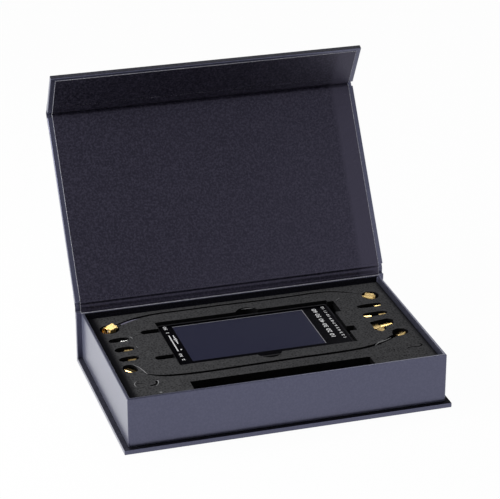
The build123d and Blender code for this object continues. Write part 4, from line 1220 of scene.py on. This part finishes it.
portValues = {
    "centres": {"port_1": (-63.2, 34.5, 22.0), "port_2": (-63.2, -7.2, 22.0)},
    "flange": [(0, -1.4), (3.5, -1.4), (3.5, 0), (3.3, 0), (3.3, 2.4)],
    "thread": (2.4, 13.7),
    "mouth": 14.2,
}
jackAdapterValues = {
    "centre": (92.8, 29.3, connectorZ),
    "half": 9.4,
    "thread": (-9.0, 0.6),
    "collar": [(3.0, 0.8), (3.0, 2.8), (2.45, 2.8)],
    "nut": 6.4,
    "plugOffset": 6.2,
}
elbowValues = {
    "corner": (87.2, 0.4, connectorZ),
    "turns": (192.0, 102.0),
    "block": 3.2,
    "blockRound": 0.45 * mm,
    "jackStem": [(0, 0), (2.9, 0), (2.9, 4.0)],
    "thread": (4.0, 13.2),
    "mouth": 13.6,
    "plugStem": [(0, 0), (2.45, 0), (2.45, 4.2)],
    "nut": 6.4,
    "plugOffset": 7.6,
}


def makePort(node, port, values):
    profile = [*port["flange"], *jackProfile(port["thread"], port["mouth"], values)]
    bm = turnedBody(profile, values["steps"])
    finishNode(placed(bm, axisFrame(port["centres"][node], 0)), node, [finish["goldPlate"]])


def makeJackAdapter(adapter, values):
    half = adapter["half"]
    outer, bore = values["jackMouth"]
    floor = values["jackDepth"] - half
    profile = [
        (0, floor), (bore, floor), (bore, -half), (outer, -half),
        *threadProfile(*adapter["thread"], values), *adapter["collar"],
        *plugProfile(adapter["nut"], adapter["plugOffset"], values),
    ]
    bm = placed(turnedBody(profile, values["steps"]), axisFrame(adapter["centre"], 180))
    finishNode(bm, "jack_adapter", [finish["goldPlate"]])


def makeElbow(elbow, values):
    jackFrame, plugFrame = (axisFrame(elbow["corner"], turn) for turn in elbow["turns"])
    side = elbow["block"]
    block = prism(box((-side, -side), (side, side)), -side, side)
    roundEdges(block, sharpEdges(block, 25), elbow["blockRound"], 3)
    placed(block, jackFrame)
    jack = [*elbow["jackStem"], *jackProfile(elbow["thread"], elbow["mouth"], values)]
    plug = [*elbow["plugStem"], *plugProfile(elbow["nut"], elbow["plugOffset"], values)]
    for profile, frameMatrix in ((jack, jackFrame), (plug, plugFrame)):
        mergeInto(block, placed(turnedBody(profile, values["steps"]), frameMatrix))
    finishNode(block, "elbow_adapter", [finish["goldPlate"]])


for portNode in portValues["centres"]:
    makePort(portNode, portValues, connectorValues)
makeJackAdapter(jackAdapterValues, connectorValues)
makeElbow(elbowValues, connectorValues)
print("connectors made")


# analyzer
analyzerValues = {
    "housingRound": 0.35 * mm,
    "frameRound": 0.3 * mm,
    "glassRound": 0.22 * mm,
    "segments": 3,
    "window": (-53.75, -13.9, 44.25, 41.7),
    "glassTop": 32.9,
    "rim": 0.45,
}
softened("rear_housing", analyzerValues["housingRound"], analyzerValues["segments"], 40)
softened("front_frame", analyzerValues["frameRound"], analyzerValues["segments"], 40)


def makeGlass(values):
    bm = nodeMesh("touch_glass")
    roundEdges(bm, sharpEdges(bm, 60), values["glassRound"], values["segments"])
    left, front, right, back = values["window"]
    rim = values["rim"]
    # the window gets a pale strip on its right and back edges only, a painted highlight on the screen's rim
    for axis, places in enumerate(((left, right, right + rim), (front, back, back + rim))):
        for place in places:
            splitFaces(bm, axis, place)
    bm.normal_update()
    for face in bm.faces:
        middle = face.calc_center_median() / mm
        if face.normal.z < 0.99 or middle.z < values["glassTop"] - 0.05:
            continue
        if left < middle.x < right and front < middle.y < back:
            face.material_index = 1
        elif left < middle.x < right + rim and front < middle.y < back + rim:
            face.material_index = 2
    finishNode(bm, "touch_glass", [finish["blackGlass"], finish["screenOff"], finish["screenRim"]])


makeGlass(analyzerValues)

markValues = {
    "height": 0.03,
    "sizeShare": 1.38,  # text size to letter height
    "letters": [
        # words, middle, letter height, weight, length
        ("1  50", (-58.1, 38.8), 2.4, 0.03, 10.4),
        ("2  50", (-58.4, -5.6), 2.1, 0.03, 11.0),
        ("10 20 30 40 50 60", (54.6, 17.6), 3.3, 0.05, 47.0),
        ("1 2 3 4 5 6 7 8 9 10 11 12", (61.2, 16.8), 2.1, 0.03, 52.6),
    ],
    "line": ((-60.0, 3.8), (-59.15, 29.4)),
    "dot": ((-57.4, 5.0), (-56.3, 6.4)),
    "wave": {
        "x": -56.6, "low": 15.2, "high": 29.0, "swing": 1.0, "width": 0.34,
        "steps": 48, "turns": 34, "spread": 0.2,
    },
}


def flatText(words, middle, height, weight, span, values):
    curve = bpy.data.curves.new("words", "FONT")
    curve.body = words
    curve.size = height * mm * values["sizeShare"]
    curve.align_x = "CENTER"
    curve.extrude = values["height"] / 2 * mm
    curve.offset = weight * mm
    curve.resolution_u = 3
    bm = heldMesh(curveMesh(curve))
    bmesh.ops.remove_doubles(bm, verts=bm.verts, dist=meshValues["fineMerge"])
    places = [vertex.co.x for vertex in bm.verts]
    low, high = min(places), max(places)
    lift = (analyzerValues["glassTop"] + values["height"] / 2) * mm
    matrix = (
        Matrix.Translation((middle[0] * mm, middle[1] * mm, lift))
        @ Matrix.Rotation(math.pi / 2, 4, "Z")
        @ Matrix.Diagonal((span * mm / (high - low), 1, 1, 1))
        @ Matrix.Translation((-(low + high) / 2, 0, 0))
    )
    return placed(bm, matrix)


def makeMarks(values):
    bm = bmesh.new()
    low = analyzerValues["glassTop"]
    high = low + values["height"]
    for row in values["letters"]:
        mergeInto(bm, flatText(*row, values))
    for corners in (values["line"], values["dot"]):
        mergeInto(bm, prism(box(*corners), low, high))
    wave = values["wave"]
    line = []
    for step in range(wave["steps"] + 1):
        share = step / wave["steps"]
        swell = math.exp(-((share - 0.5) / wave["spread"]) ** 2)
        x = wave["x"] + wave["swing"] * swell * math.sin(share * wave["turns"])
        line.append((x, wave["low"] + (wave["high"] - wave["low"]) * share))
    mergeInto(bm, prism(ribbon(line, lambda x: wave["width"]), low, high))
    finishPiece(bm, "printedMarks", "analyzer", [finish["printedWhite"]])


makeMarks(markValues)
smallRounds = {
    # node: radius, segments, least angle
    "display_gasket": (0.1 * mm, 2, 60),
    "usb_socket": (0.08 * mm, 2, 60),
    "key_down": (0.18 * mm, 3, 40),
    "key_enter": (0.18 * mm, 3, 40),
    "key_up": (0.18 * mm, 3, 40),
    "power_button": (0.18 * mm, 3, 40),
}
for small, rounds in smallRounds.items():
    softened(small, *rounds)
print("analyzer made")


# lights, floor and world
lightValues = {
    "key": {"place": (-0.66, 0.08, 0.43), "size": 0.42, "power": 4.8},
    "top": {"place": (0.46, 0.50, 1.19), "size": 0.45, "power": 3.0},
    "side": {"place": (0.80, -0.95, 0.80), "size": 0.5, "power": 1.2},
}
stageValues = {
    "world": 0.25,
    "horizon": (0.45, 0.62),
    "floor": (0.9, 0.9, 0.91),
    "pale": 0.97,
    "size": 12.0,
    "drop": 0.05,
}


def addLights(values, target):
    for name, light in values.items():
        data = bpy.data.lights.new(name + "Light", "AREA")
        data.shape = "SQUARE"
        data.size = light["size"]
        data.energy = light["power"]
        lamp = placeObject(name + "Light", data)
        lamp.location = light["place"]
        lamp.rotation_euler = (Vector(target) - lamp.location).to_track_quat("-Z", "Y").to_euler()


def seenRays(tree):
    # 1 for the rays that see the background: straight, mirrored and through glass
    rays = addNode(tree, "ShaderNodeLightPath")
    total = rays.outputs["Is Camera Ray"]
    for name in ("Is Glossy Ray", "Is Transmission Ray"):
        most = addNode(tree, "ShaderNodeMath", {"operation": "MAXIMUM"})
        tree.links.new(total, most.inputs[0])
        wire(tree, (rays, name, most, 1))
        total = most.outputs[0]
    return total


def addWorld(values):
    world = bpy.data.worlds.new("studio")
    world.use_nodes = True
    bpy.context.scene.world = world
    tree = world.node_tree
    background = tree.nodes["Background"]
    background.inputs["Color"].default_value = (1, 1, 1, 1)
    where = addNode(tree, "ShaderNodeTexCoord")
    split = addNode(tree, "ShaderNodeSeparateXYZ")
    low, high = values["horizon"]
    horizon = addNode(
        tree, "ShaderNodeMapRange", values={"From Min": low, "From Max": high, "To Min": 1.0, "To Max": 0.0}
    )
    shown = addNode(tree, "ShaderNodeMath", {"operation": "MULTIPLY"})
    strength = addNode(tree, "ShaderNodeMapRange", values={"To Min": values["world"], "To Max": 1.0})
    tree.links.new(seenRays(tree), shown.inputs[1])
    wire(
        tree,
        (where, "Generated", split, "Vector"), (split, "Z", horizon, "Value"),
        (horizon, "Result", shown, 0), (shown, 0, strength, "Value"),
        (strength, "Result", background, "Strength"),
    )


def addFloor(values):
    bm = bmesh.new()
    bmesh.ops.create_grid(bm, x_segments=1, y_segments=1, size=values["size"])
    bmesh.ops.translate(bm, verts=bm.verts, vec=(0, 0, -values["drop"] * mm))
    floor = placeObject("floor", takeMesh(bm, "floor"))
    material, tree, shader = newMaterial("paleFloor", {"Roughness": 0.9, "Specular IOR Level": 0.0})
    shader.inputs["Base Color"].default_value = (*values["floor"], 1)
    glow = addNode(tree, "ShaderNodeEmission", values={"Color": (1, 1, 1, 1)})
    share = addNode(tree, "ShaderNodeMath", {"operation": "MULTIPLY"}, {1: values["pale"]})
    mix = addNode(tree, "ShaderNodeMixShader")
    tree.links.new(seenRays(tree), share.inputs[0])
    wire(tree, (share, 0, mix, 0), (shader, 0, mix, 1), (glow, 0, mix, 2))
    wire(tree, (mix, 0, tree.nodes["Material Output"], "Surface"))
    floor.data.materials.append(material)


addLights(lightValues, (0, 0.02, 0.05))
addWorld(stageValues)
addFloor(stageValues)
print("lights and floor set")
